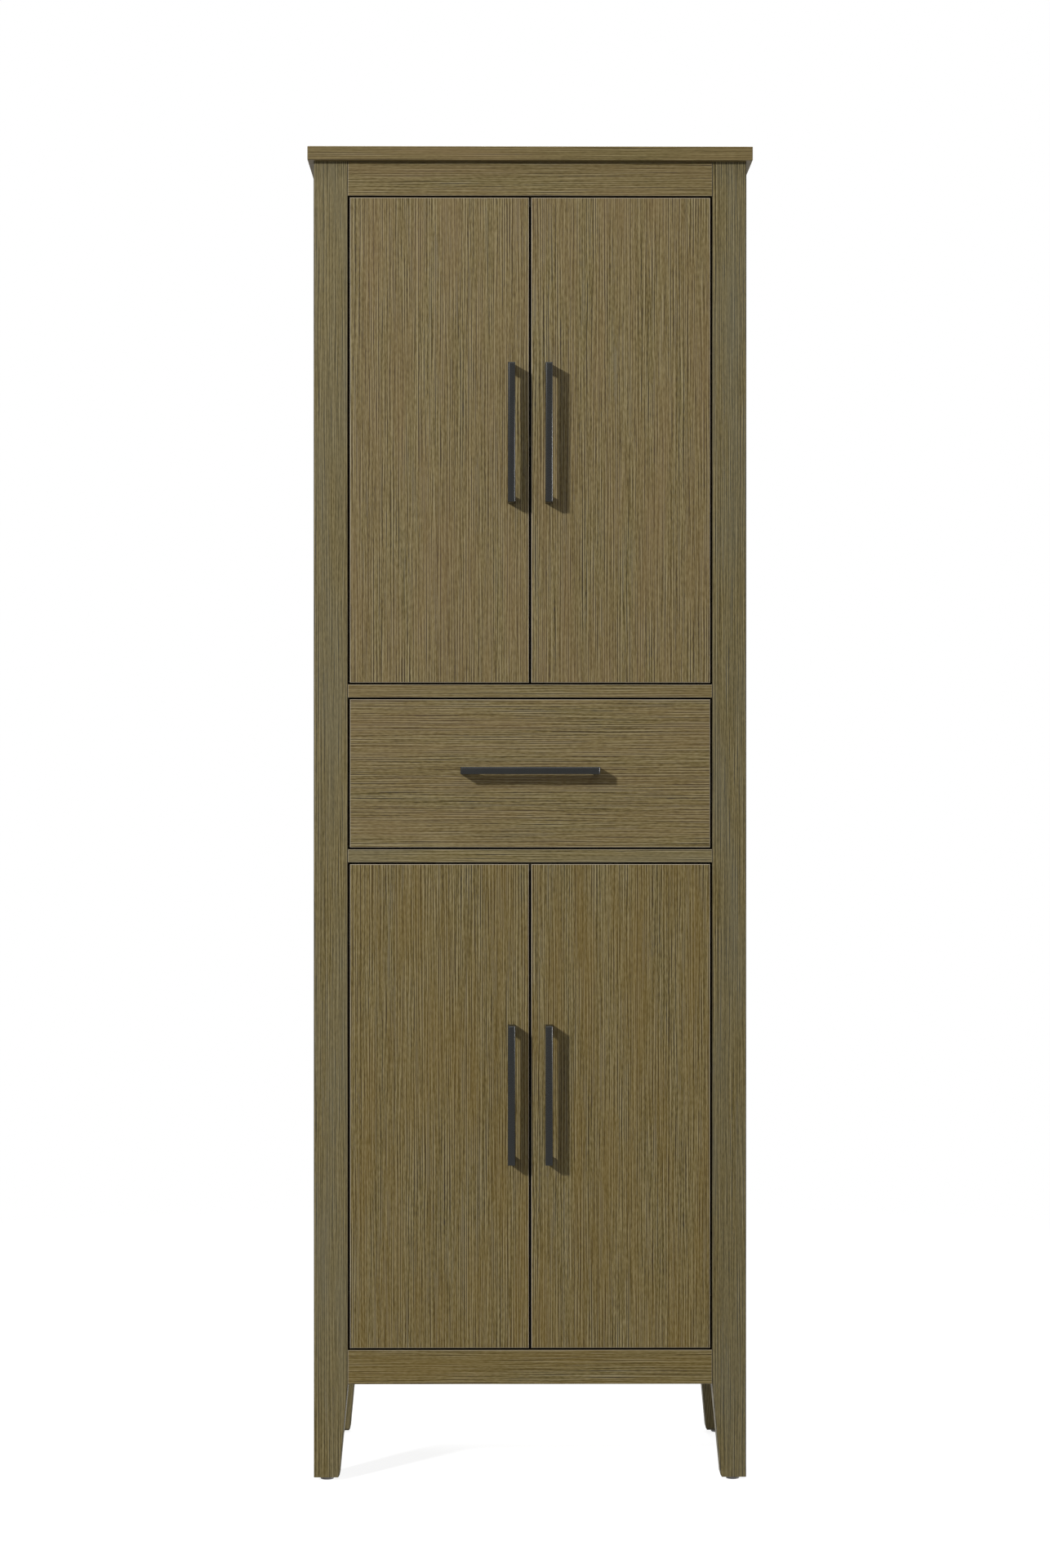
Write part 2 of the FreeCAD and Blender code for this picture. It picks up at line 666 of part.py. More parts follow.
def hinge_plate(hinge_z):
    """The plate between a leg and an arm, for a hinge on the left."""
    half = PLATE_H / 2
    plate = box(-HALF_OPEN, PLATE_FACE_X, PLATE_Y, PLATE_Y + PLATE_D, hinge_z - half, hinge_z + half)
    corners = [e for e in plate.Edges if abs(e.tangentAt(e.FirstParameter).x) > 0.5]
    plate = plate.makeFillet(PLATE_T, corners)
    return plate.cut([screw_pilot(seat, V(-1, 0, 0)) for seat in plate_screw_seats(hinge_z)])


def on_every_hinge(maker):
    """One piece for each hinge of the four doors."""
    return [
        handed(maker(z), hand)
        for z0, z1, _ in DOORS.values()
        for z in hinge_heights(z0, z1)
        for hand in (LEFT, RIGHT)
    ]


# Drawer
def drawer_pull_places():
    return [(s * PULL_HOLE_SPREAD / 2, DRAWER_PULL_Z) for s in (-1, 1)]


def drawer_front():
    half = HALF_OPEN - SIDE_REVEAL
    front = eased_front(box(-half, half, FRONT_Y, FRONT_BACK, DRAWER_Z, DRAWER_Z + DRAWER_FRONT_H))
    return front.cut(pull_screw_holes(drawer_pull_places(), FRONT_T))


def box_bottom(play=0.0):
    """The drawer's bottom, or with play the groove that it sits in."""
    depth = GROOVE_DEPTH - GROOVE_PLAY + play
    z0 = BOX_Z + BOX_BOTTOM_RISE
    return box(
        -BOX_INNER - depth,
        BOX_INNER + depth,
        FRONT_BACK + BOX_T - depth,
        BOX_BACK - BOX_T + depth,
        z0 - play / 2,
        z0 + BOX_BOTTOM_T + play / 2,
    )


def box_side(hand):
    board = box(-BOX_HALF_W, -BOX_INNER, FRONT_BACK, BOX_BACK, BOX_Z, BOX_Z + BOX_H)
    return handed(board.cut(box_bottom(GROOVE_PLAY)), hand)


def box_end(y0):
    """The board at the front or the back of the drawer box, between its sides."""
    board = box(-BOX_INNER, BOX_INNER, y0, y0 + BOX_T, BOX_Z, BOX_Z + BOX_H)
    holes = pull_screw_holes(drawer_pull_places(), FRONT_T + BOX_T)
    return bored(board.cut(box_bottom(GROOVE_PLAY)), holes)


def channel(web_x, lip_x, half_h, hand):
    """A folded slide member: a web at web_x and two flanges that reach lip_x, measured from the leg."""
    inner = math.copysign(SLIDE_GAUGE, lip_x - web_x)
    profile = (
        (web_x, -half_h),
        (lip_x, -half_h),
        (lip_x, SLIDE_GAUGE - half_h),
        (web_x + inner, SLIDE_GAUGE - half_h),
        (web_x + inner, half_h - SLIDE_GAUGE),
        (lip_x, half_h - SLIDE_GAUGE),
        (lip_x, half_h),
        (web_x, half_h),
    )
    points = [V(x - HALF_OPEN, SLIDE_Y, SLIDE_Z + z) for x, z in profile]
    return handed(prism(points, AXIS_Y * SLIDE_L), hand)


def slide_members():
    """The three nested members of a slide, for both sides: on the cabinet, between, and on the drawer."""
    step = SLIDE_GAUGE + SLIDE_GAP
    lip = SLIDE_T - SLIDE_LIP
    heights = [SLIDE_H / 2 - number * step for number in range(3)]
    spans = ((0.0, lip), (step, lip), (SLIDE_T, 2 * step))
    return [
        [channel(web, edge, half, hand) for hand in (LEFT, RIGHT)]
        for (web, edge), half in zip(spans, heights)
    ]


def carcass_nodes():
    cutters = frame_cutters()
    boards = {
        "top_board": top_board(),
        "front_leg_left": leg(LEFT, False),
        "front_leg_right": leg(RIGHT, False),
        "rear_leg_left": leg(LEFT, True),
        "rear_leg_right": leg(RIGHT, True),
        "side_panel_left": side_panel(LEFT),
        "side_panel_right": side_panel(RIGHT),
        "top_rail": face_rail(TOP_RAIL_Z, TOP_RAIL_H),
        "upper_mid_rail": face_rail(UPPER_RAIL_Z, MID_RAIL_H),
        "lower_mid_rail": face_rail(LOWER_RAIL_Z, MID_RAIL_H),
        "bottom_rail": face_rail(LEG_CLEARANCE, BOTTOM_RAIL_H),
        "rear_top_rail": rear_rail(REAR_TOP_RAIL_Z, TOP_Z),
        "rear_bottom_rail": rear_rail(LEG_CLEARANCE, BOTTOM_RAIL_TOP - PANEL_T),
        "upper_divider": divider(UPPER_RAIL_TOP),
        "lower_divider": divider(LOWER_RAIL_TOP),
        "bottom_panel": divider(BOTTOM_RAIL_TOP),
        "back_panel": back_panel(),
    }
    nodes = {name: [bored(board, cutters)] for name, board in boards.items()}
    nodes["slide_battens"] = [bored(slide_batten(hand), cutters) for hand in (LEFT, RIGHT)]
    nodes["frame_dowels"] = [dowel(site) for site in dowel_sites()]
    nodes["back_panel_screws"] = [wood_screw(seat, V(0, -1, 0)) for seat in back_screw_seats()]
    nodes["upper_shelf"] = [shelf(UPPER_SHELF_Z)]
    nodes["lower_shelf"] = [shelf(LOWER_SHELF_Z)]
    nodes["shelf_pins"] = shelf_pins()
    nodes["foot_glides"] = foot_glides()
    nodes["door_stops"] = door_stops()
    nodes["door_bumpers"] = door_bumpers()
    nodes["hinge_arms"] = on_every_hinge(hinge_arm)
    nodes["hinge_plates"] = on_every_hinge(hinge_plate)
    nodes["hinge_plate_screws"] = [
        handed(wood_screw(seat, V(-1, 0, 0)), hand)
        for seat in all_plate_screw_seats()
        for hand in (LEFT, RIGHT)
    ]
    return nodes


def door_nodes():
    nodes = {}
    for level, (z0, z1, pull_raise) in DOORS.items():
        for side, hand in (("left", LEFT), ("right", RIGHT)):
            name = f"{level}_{side}"
            places = door_pull_places(hand, z0, z1, pull_raise)
            heights = hinge_heights(z0, z1)
            nodes[f"{name}_door"] = [door(hand, z0, z1, pull_raise)]
            nodes[f"{name}_pull"] = [upright_pull(hand * DOOR_PULL_X, (z0 + z1) / 2 + pull_raise)]
            nodes[f"{name}_pull_screws"] = pull_screws(places, FRONT_T)
            nodes[f"{name}_hinge_cups"] = [handed(hinge_cup(z), hand) for z in heights]
            nodes[f"{name}_hinge_pins"] = [handed(hinge_pin(z), hand) for z in heights]
    return nodes


def drawer_nodes():
    on_cabinet, between, on_drawer = slide_members()
    return {
        "drawer_front": [drawer_front()],
        "drawer_box_front": [box_end(FRONT_BACK)],
        "drawer_box_back": [box_end(BOX_BACK - BOX_T)],
        "drawer_side_left": [box_side(LEFT)],
        "drawer_side_right": [box_side(RIGHT)],
        "drawer_bottom": [box_bottom()],
        "drawer_pull": [level_pull(DRAWER_PULL_Z)],
        "drawer_pull_screws": pull_screws(drawer_pull_places(), FRONT_T + BOX_T),
        "slide_outer_members": on_cabinet,
        "slide_middle_members": between,
        "slide_inner_members": on_drawer,
    }


def main():
    os.makedirs("parts", exist_ok=True)
    nodes = {**carcass_nodes(), **door_nodes(), **drawer_nodes()}
    for name, shapes in nodes.items():
        solids = [solid for shape in shapes for solid in shape.Solids]
        Part.makeCompound(solids).exportStep(f"parts/{name}.step")
        volume = sum(solid.Volume for solid in solids)
        print(f"{name}: {len(solids)} solids, {volume / 1000:.1f} cm3")
    print(f"{len(nodes)} nodes; hinge pin {PIVOT_IN:.2f} mm in, {PIVOT_DEPTH:.2f} mm deep")


main()
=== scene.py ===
# %% [markdown]
# A tall linen cabinet for a bathroom: two pairs of inset doors with a drawer between them, on four tapered
# legs. Every board and every working piece of steel is already modelled to size, and this lesson dresses
# them: a camera, plain studio light, the finishes, and the small pieces that deserve finer shapes.

# %% Load the cabinet
import bpy
import bmesh
import math
from mathutils import Euler, Matrix, Vector


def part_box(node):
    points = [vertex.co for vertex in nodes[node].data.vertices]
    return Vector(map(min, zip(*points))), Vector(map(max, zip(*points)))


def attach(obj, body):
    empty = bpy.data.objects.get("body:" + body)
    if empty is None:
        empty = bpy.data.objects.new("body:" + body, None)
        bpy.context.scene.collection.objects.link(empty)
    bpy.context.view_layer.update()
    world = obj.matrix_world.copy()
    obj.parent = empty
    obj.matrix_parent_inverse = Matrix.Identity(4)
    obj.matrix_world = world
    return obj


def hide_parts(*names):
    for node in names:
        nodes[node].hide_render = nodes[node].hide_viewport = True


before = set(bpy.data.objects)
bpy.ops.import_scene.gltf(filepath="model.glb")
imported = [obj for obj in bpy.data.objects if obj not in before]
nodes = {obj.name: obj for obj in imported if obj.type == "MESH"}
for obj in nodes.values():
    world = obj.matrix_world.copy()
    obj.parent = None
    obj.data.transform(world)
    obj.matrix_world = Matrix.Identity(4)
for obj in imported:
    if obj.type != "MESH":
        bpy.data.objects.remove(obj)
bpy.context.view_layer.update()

MM = 0.001

# %% [markdown]
# The photograph was taken from almost straight ahead, a little left of the middle and at half the cabinet's
# height, with a long lens nearly five metres away. A camera far off with a long lens keeps upright edges
# parallel. The place, the two small turns and the lens were fitted to the corners of the cabinet in the
# photograph, so the render and the photograph can be laid over each other.

# %% Camera
CAMERA_PLACE = Vector((-41.83, -4858.40, 971.79)) * MM
CAMERA_TILT = math.radians(90 - 0.1883)
CAMERA_TURN = math.radians(-0.4253)
LENS = 78.49

camera_data = bpy.data.cameras.new("photo_camera")
camera_data.lens = LENS
camera_data.sensor_width = 36.0
camera = bpy.data.objects.new("photo_camera", camera_data)
camera.location = CAMERA_PLACE
camera.rotation_euler = Euler((CAMERA_TILT, 0.0, CAMERA_TURN))
bpy.context.scene.collection.objects.link(camera)
bpy.context.scene.camera = camera
bpy.context.scene.view_settings.view_transform = "Standard"
print("camera stands", round(-CAMERA_PLACE.y, 2), "m in front, lens", LENS, "mm")

# %% [markdown]
# Every finish below is a small graph of nodes. Adding a node always takes the same three steps: make it, set
# it, and feed its sockets. One function does all three: a socket given another node's output is linked, and
# a socket given a number or a colour keeps it. Colours are written as the hex codes that a paint chart or a
# picture program shows, and one function turns them into the linear values that a renderer adds up.

# %% Colours and nodes
def linear(code):
    """Linear red, green, blue and alpha of an sRGB hex colour."""
    shares = [int(code[i : i + 2], 16) / 255 for i in (1, 3, 5)]
    return (*[c / 12.92 if c <= 0.04045 else ((c + 0.055) / 1.055) ** 2.4 for c in shares], 1.0)


def add(tree, kind, inputs=None, stops=(), **settings):
    """Adds a node, sets it, and links or fills its sockets. Only a colour ramp has stops."""
    node = tree.nodes.new("ShaderNode" + kind)
    for name, value in settings.items():
        setattr(node, name, value)
    for socket, value in (inputs or {}).items():
        if isinstance(value, bpy.types.NodeSocket):
            tree.links.new(value, node.inputs[socket])
        else:
            node.inputs[socket].default_value = value
    for number, (place, code) in enumerate(stops):
        elements = node.color_ramp.elements
        stop = elements[number] if number < 2 else elements.new(place)
        stop.position = place
        stop.color = linear(code)
    return node


def new_material(name):
    """An empty material and its node tree."""
    material = bpy.data.materials.new(name)
    material.use_nodes = True
    material.node_tree.nodes.clear()
    return material, material.node_tree


print("olive mid tone of the veneer, linear:", [round(c, 3) for c in linear("#776940")[:3]])

# %% [markdown]
# The studio behind the cabinet is plain white. A white world as bright as the picture would light the
# cabinet from every side and wash it out, so the world is white only for what the camera sees, directly or
# in a reflection, and a dimmer, even grey for the light that falls on the boards.

# %% White surroundings
FILL_LEVEL = 0.22
FILL_COLOUR = "#f6f8ff"


def seen_by_eye(tree):
    """1 where a ray comes from the camera, a reflection or a clear piece, and 0 where it carries light."""
    path = add(tree, "LightPath").outputs
    shown = add(tree, "Math", {0: path["Is Camera Ray"], 1: path["Is Glossy Ray"]}, operation="MAXIMUM")
    shown = add(tree, "Math", {0: shown.outputs[0], 1: path["Is Transmission Ray"]}, operation="MAXIMUM")
    return shown.outputs[0]


world = bpy.data.worlds.new("white_studio")
world.use_nodes = True
sky = world.node_tree
sky.nodes.clear()
fill = add(sky, "Background", {"Color": linear(FILL_COLOUR), "Strength": FILL_LEVEL})
white = add(sky, "Background", {"Color": (1.0, 1.0, 1.0, 1.0), "Strength": 1.0})
surround = add(sky, "MixShader", {0: seen_by_eye(sky), 1: fill.outputs[0], 2: white.outputs[0]})
add(sky, "OutputWorld", {"Surface": surround.outputs[0]})
bpy.context.scene.world = world
print("world: white to the eye, fill level", FILL_LEVEL)

# %% [markdown]
# The floor is a wide disc of matt white paint. Near the cabinet most of its white is fixed and a share comes
# from the lamps, so a soft shadow stays under the legs. Further out all of it is fixed, so there is no
# horizon. To light that bounces it is a mid grey, because a white floor would light the cabinet from below.

# %% Floor
FLOOR_R = 14.0
FLOOR_SIDES = 96
SHADOW_FADE_FROM = 0.6  # metres from the cabinet's middle
SHADOW_FADE_TO = 2.8
SHADOW_SHARE = 0.40  # of the lamps' light that shows near the cabinet
NEAR_GLOW = 0.88  # fixed white there
BOUNCE_GREY = "#6e6e6c"

floor_paint, tree = new_material("matt_white_floor_paint")
place = add(tree, "TexCoord").outputs["Object"]
reach = add(tree, "VectorMath", {0: place}, operation="LENGTH").outputs["Value"]
fade = {"Value": reach, "From Min": SHADOW_FADE_FROM, "From Max": SHADOW_FADE_TO}
share = add(tree, "MapRange", {**fade, "To Min": SHADOW_SHARE, "To Max": 0.0})
glow = add(tree, "MapRange", {**fade, "To Min": NEAR_GLOW, "To Max": 1.0})
lit = add(tree, "BsdfDiffuse", {"Color": linear(BOUNCE_GREY)})
shaded = add(tree, "BsdfDiffuse", {"Color": share.outputs[0]})
plain = add(tree, "Emission", {"Strength": glow.outputs[0]})
painted = add(tree, "AddShader", {0: shaded.outputs[0], 1: plain.outputs[0]})
shown = add(tree, "MixShader", {0: seen_by_eye(tree), 1: lit.outputs[0], 2: painted.outputs[0]})
add(tree, "OutputMaterial", {"Surface": shown.outputs[0]})

bm = bmesh.new()
bmesh.ops.create_circle(bm, cap_ends=True, segments=FLOOR_SIDES, radius=FLOOR_R)
floor_mesh = bpy.data.meshes.new("floor")
bm.to_mesh(floor_mesh)
bm.free()
floor = bpy.data.objects.new("floor", floor_mesh)
floor_mesh.materials.append(floor_paint)
bpy.context.scene.collection.objects.link(floor)
print("floor disc", 2 * FLOOR_R, "m across")

# %% [markdown]
# The shadows of the pulls tell where the main lamp stood: they fall to the right and a little down, with
# crisp edges, so the lamp was small, far off, to the left and above. A narrow strip on the right and a wide
# sheet overhead add the thin bright lines that the photograph shows on the right and upper edges of the
# pulls. The last sheet, high up behind, shows the back, which the photograph doesn't. A lamp's power is
# worked out from the light that should arrive: a sheet lamp of P watts sends P / (pi d d) to a point that is
# d metres straight in front of it.

# %% Lamps
FRONT_AIM = Vector((0.0, -170.0, 1100.0)) * MM
REAR_AIM = Vector((0.0, 200.0, 800.0)) * MM


def sheet_lamp(name, place, aim, width, height, level):
    """A flat lamp that gives a surface facing it at the aim point this level of light, where 1 is full."""
    data = bpy.data.lights.new(name, "AREA")
    data.shape = "RECTANGLE"
    data.size = width
    data.size_y = height
    away = aim - Vector(place)
    data.energy = level * math.pi * math.pi * away.length_squared
    lamp = bpy.data.objects.new(name, data)
    lamp.location = place
    lamp.rotation_euler = away.to_track_quat("-Z", "Y").to_euler()
    bpy.context.scene.collection.objects.link(lamp)
    print(name, "at", [round(c, 2) for c in place], "power", round(data.energy), "W")


sheet_lamp("key_lamp", (-6.5, -8.5, 5.1), FRONT_AIM, width=0.8, height=0.8, level=0.76)
sheet_lamp("right_strip", (4.2, -0.4, 1.3), FRONT_AIM, width=0.5, height=1.2, level=0.32)
sheet_lamp("overhead_sheet", (0.0, -0.6, 3.6), FRONT_AIM, width=2.0, height=1.1, level=0.28)
sheet_lamp("rear_sheet", (0.0, 3.4, 3.6), REAR_AIM, width=2.2, height=1.6, level=0.45)

# %% [markdown]
# The boards are covered with rift-cut oak veneer, stained an olive brown and sealed with a matt lacquer.
# Rift-cut veneer is sliced across the rings, so its grain is fine, straight and even. A photograph of wood
# could be pasted on, but a pattern of noise has no seam and no edge, and its sizes are real. The pattern is
# laid on a flat sheet with one direction across the grain and one along it. On the ends of a board the sheet
# is turned, because a strip of veneer is glued along the edge there.

# %% Lay of the grain
GRAIN_TURN = {"Z": (0.0, 0.0, 0.0), "X": (0.0, math.pi / 2, 0.0), "Y": (math.pi / 2, 0.0, 0.0)}
GRAIN_WAY = {"X": (1.0, 0.0, 0.0), "Y": (0.0, 1.0, 0.0), "Z": (0.0, 0.0, 1.0)}
END_FACING = 0.7  # a face is an end when this much of its normal lies along the grain
SWAY = 1.2  # mm that a line wanders
SWAY_CELL = (6.0, 700.0)  # mm across and along
MIX_VECTOR = (4, 5, 1)  # sockets of a Mix node: first, second and result
MIX_COLOUR = (6, 7, 2)


def per_mm(across, along):
    """Mapping scale that makes one cell of noise this many millimetres wide and long."""
    return (1 / (across * MM), 1 / (across * MM), 1 / (along * MM))


def grain_layer(tree, coords, across, along, detail):
    """Noise with cells of this size in millimetres, drawn out along the grain."""
    sized = add(tree, "Mapping", {"Vector": coords, "Scale": per_mm(across, along)}).outputs[0]
    noise = add(tree, "TexNoise", {"Vector": sized, "Scale": 1.0, "Detail": detail, "Roughness": 0.55})
    return noise.outputs[0]


def grain_sheet(tree, along, edge_along, offset):
    """Coordinates across and along the grain of a board, turned on its ends."""
    spot = add(tree, "TexCoord").outputs
    place = {"Vector": spot["Object"], "Location": offset}
    face = add(tree, "Mapping", {**place, "Rotation": GRAIN_TURN[along]}).outputs[0]
    edge = add(tree, "Mapping", {**place, "Rotation": GRAIN_TURN[edge_along]}).outputs[0]
    facing = add(tree, "VectorMath", {0: spot["Normal"], 1: GRAIN_WAY[along]}, operation="DOT_PRODUCT")
    endwise = add(tree, "Math", {0: facing.outputs["Value"]}, operation="ABSOLUTE").outputs[0]
    is_end = add(tree, "Math", {0: endwise, 1: END_FACING}, operation="GREATER_THAN").outputs[0]
    a, b, out = MIX_VECTOR
    board = add(tree, "Mix", {0: is_end, a: face, b: edge}, data_type="VECTOR").outputs[out]

    # Only two directions matter on a face, across the grain and along it, so the other one is folded in.
    parts = add(tree, "SeparateXYZ", {0: board}).outputs
    across = add(tree, "Math", {0: parts[0], 1: parts[1]}, operation="ADD").outputs[0]
    sheet = add(tree, "CombineXYZ", {0: across, 2: parts[2]}).outputs[0]

    # The lines wander a little as they run, and some are wider than others.
    drift_at = add(tree, "Mapping", {"Vector": sheet, "Scale": per_mm(*SWAY_CELL)}).outputs[0]
    drift = add(tree, "TexNoise", {"Vector": drift_at, "Scale": 1.0, "Detail": 1.0}).outputs["Color"]
    wander = {0: drift, 1: (SWAY * MM, 0.0, 0.0), 2: sheet}
    return add(tree, "VectorMath", wander, operation="MULTIPLY_ADD").outputs[0]


print("a line of grain wanders", SWAY, "mm in cells of", SWAY_CELL, "mm")

# %% [markdown]
# Growth rings cross the face as even lines nearly four millimetres apart, with finer lines between them.
# Each line wavers, and comes and goes along its length. The pores are narrow grooves, dark inside and pale on
# the lip, some as long as an arm and some as long as a hand, with short flecks among them. The board is cut
# into columns as wide as a pore line, each column has a tone of its own, and noise drawn out along the grain
# makes that tone come and go. Broad, faint bands drift across the whole board.

# %% Rings and pores
RING_LINES = ((3.8, 0.38), (2.5, 0.56))  # mm between the rings and between the finer lines, and depth
RING_WAVER = 5.0  # radians that a line is pushed aside
RING_WAVER_W = 2.2  # width of a wavering stretch, in lines
RING_FADE_W = 1.8  # width of a fading stretch, in lines
RING_RUN = 120.0  # mm that a line runs before it wavers or fades
RING_FADE = {"From Min": 0.3, "From Max": 0.7, "To Min": -0.5, "To Max": 1.0}
PORE = 1.1  # mm across a pore line, about twice the real width so that it shows
PORE_STEP = 3.62  # cells of noise from one pore line to the next, so that they have nothing in common
PORE_LINES = ((500.0, 0.7), (90.0, 0.8))  # length in mm and depth
FLECKS = ((7.0, 0.55), (24.0, 0.3))  # length in mm and depth
BAND = 0.18  # depth
BAND_CELL = (30.0, 1500.0)  # mm across and along


def ring_layers(tree, grain):
    """The growth rings and the finer lines, each with its depth."""
    layers = []
    for pitch, depth in RING_LINES:
        waver = grain_layer(tree, grain, RING_WAVER_W * pitch, RING_RUN, 1.0)
        turns = (2 * math.pi / (pitch * MM), 0.0, 0.0)
        run = add(tree, "VectorMath", {0: grain, 1: turns}, operation="DOT_PRODUCT").outputs["Value"]
        phase = add(tree, "Math", {0: waver, 1: RING_WAVER, 2: run}, operation="MULTIPLY_ADD").outputs[0]
        ring = add(tree, "Math", {0: phase}, operation="SINE").outputs[0]
        share = grain_layer(tree, grain, RING_FADE_W * pitch, RING_RUN, 1.0)
        fade = add(tree, "MapRange", {"Value": share, **RING_FADE}).outputs[0]
        layers.append((add(tree, "Math", {0: ring, 1: fade}, operation="MULTIPLY").outputs[0], depth))
    return layers


def pore_layers(tree, grain):
    """The pore lines and the flecks, each with its depth."""
    parts = add(tree, "SeparateXYZ", {0: grain}).outputs
    column = add(tree, "Math", {0: parts[0], 1: PORE * MM}, operation="SNAP").outputs[0]
    pore = add(tree, "CombineXYZ", {0: column, 2: parts[2]}).outputs[0]
    beside = add(tree, "VectorMath", {0: pore, 1: (PORE * MM, 0.0, 0.0)}, operation="ADD").outputs[0]
    layers = []
    # A groove is dark inside and pale on its lip, so each line is its own noise less its neighbour's.
    for length, depth in PORE_LINES:
        groove = grain_layer(tree, pore, PORE / PORE_STEP, length, 0.0)
        lip = grain_layer(tree, beside, PORE / PORE_STEP, length, 0.0)
        layers.append((add(tree, "Math", {0: groove, 1: lip}, operation="SUBTRACT").outputs[0], depth))
    for length, depth in FLECKS:
        layers.append((grain_layer(tree, pore, PORE / PORE_STEP, length, 0.0), depth))
    return layers


def grain_tone(tree, grain, ground, contrast):
    """How pale the veneer is at each spot, from 0 to 1."""
    band = grain_layer(tree, grain, *BAND_CELL, 2.0)
    layers = [*ring_layers(tree, grain), *pore_layers(tree, grain), (band, BAND)]
    tone = ground - contrast * (BAND + sum(depth for length, depth in FLECKS)) / 2
    for layer, depth in layers:
        deeper = {0: layer, 1: depth * contrast, 2: tone}
        tone = add(tree, "Math", deeper, operation="MULTIPLY_ADD").outputs[0]
    return tone


print("ring lines every", [pitch for pitch, depth in RING_LINES], "mm, pore lines", PORE, "mm wide")

# %% [markdown]
# The stain goes on with a cloth. It darkens the pores most, and its colour drifts between a greener and a
# warmer olive. Painted highlight makes the rounded edges of doors and rails paler, and painted shade makes
# those of the legs darker along their seams. Painted shade also darkens the narrow edges above and below a
# door or rail, so the gaps look deep. The matt lacquer over the stain is sprayed thin, so the pores stay open
# and a little duller than the wood between them.

# %% Stain and lacquer
STAIN = ((0.0, "#1d1400"), (0.28, "#4d4012"), (0.55, "#776940"), (1.0, "#9a8d68"))
STAIN_CELL = (26.0, 260.0)  # mm across and along
STAIN_DRIFT = {"From Min": 0.3, "From Max": 0.7, "To Min": 0.0, "To Max": 0.36}
WARM = "#7d6541"
WARMER = "#735a1c"
COOL = "#6b6856"
COOLER = "#676657"
# painted highlight: the pale colour given to rounded edges where they would catch the light
EDGE_HIGHLIGHT = "#b3a895"
# painted shade: the dark colour given to the rounded edges of the legs and to the narrow edges above and
# below doors and rails
EDGE_SHADE = "#1d170a"
ROUNDED = {"From Min": 0.995, "From Max": 0.94}  # largest part of the normal, flat face to rounded edge
NARROW = {"From Min": 0.7, "From Max": 0.95}  # upright part of the normal, face to narrow edge
DULLNESS = {"From Min": 0.2, "From Max": 0.8, "To Min": 0.62, "To Max": 0.46}  # pores to pale wood


def stained(tree, grain, tone, cast):
    """Colour of the stained face, which drifts towards another cast in broad bands."""
    plain = add(tree, "ValToRGB", {0: tone}, stops=STAIN).outputs[0]
    patch = grain_layer(tree, grain, *STAIN_CELL, 1.0)
    drift = add(tree, "MapRange", {"Value": patch, **STAIN_DRIFT}).outputs[0]
    a, b, out = MIX_COLOUR
    return add(tree, "Mix", {0: drift, a: plain, b: linear(cast)}, data_type="RGBA").outputs[out]


def edged(tree, face, edge_tone, edge_share, narrow_shade):
    """The face's colour with painted light on the rounded edges, paler or darker by board, and painted shade
    on the narrow ones.
    """
    normal = add(tree, "TexCoord").outputs["Normal"]
    facing = add(tree, "VectorMath", {0: normal}, operation="ABSOLUTE").outputs[0]
    parts = add(tree, "SeparateXYZ", {0: facing}).outputs
    flat = add(tree, "Math", {0: parts[0], 1: parts[1]}, operation="MAXIMUM").outputs[0]
    flat = add(tree, "Math", {0: flat, 1: parts[2]}, operation="MAXIMUM").outputs[0]
    rounded = add(tree, "MapRange", {"Value": flat, **ROUNDED, "To Max": edge_share}).outputs[0]
    narrow = add(tree, "MapRange", {"Value": parts[2], **NARROW, "To Max": narrow_shade}).outputs[0]
    a, b, out = MIX_COLOUR
    # The rounded edges take painted light from the board's edge colour, and the narrow edges take painted
    # shade.
    edge_light_and_shade = {0: rounded, a: face, b: linear(edge_tone)}
    edge_light_and_shade = add(tree, "Mix", edge_light_and_shade, data_type="RGBA").outputs[out]
    return add(tree, "Mix", {0: narrow, a: edge_light_and_shade, b: linear(EDGE_SHADE)}, data_type="RGBA").outputs[out]


def veneer(name, along, edge_along, offset, ground, contrast, cast, *edges):
    """Stained veneer with its grain along one axis, and along another on the ends of the board."""
    material, tree = new_material(name)
    grain = grain_sheet(tree, along, edge_along, offset)
    tone = grain_tone(tree, grain, ground, contrast)
    colour = edged(tree, stained(tree, grain, tone, cast), *edges)
    dullness = add(tree, "MapRange", {"Value": tone, **DULLNESS})
    relief = add(tree, "Bump", {"Strength": 0.15, "Distance": 0.2 * MM, "Height": tone})
    surface = add(
        tree,
        "BsdfPrincipled",
        {
            "Base Color": colour,
            "Roughness": dullness.outputs[0],
            "Normal": relief.outputs[0],
            "IOR": 1.45,
            "Specular IOR Level": 0.4,
        },
    )
    add(tree, "OutputMaterial", {"Surface": surface.outputs[0]})
    return material


print("tones of the stain from dark to pale:", [code for place, code in STAIN])

# %% [markdown]
# Each board has a sheet of its own, cut from another place in the pattern, so no two look alike. The fronts
# of the doors and the drawer show the strongest grain, and the legs and sides lean to a cooler olive. The top
# is the calmest board. The finish goes into the slots of the solid, whose shape stays as it is.

# %% Veneer on the boards
BOARD_STEP = (0.37, 0.53, 0.71)  # metres from one board's place in the pattern to the next
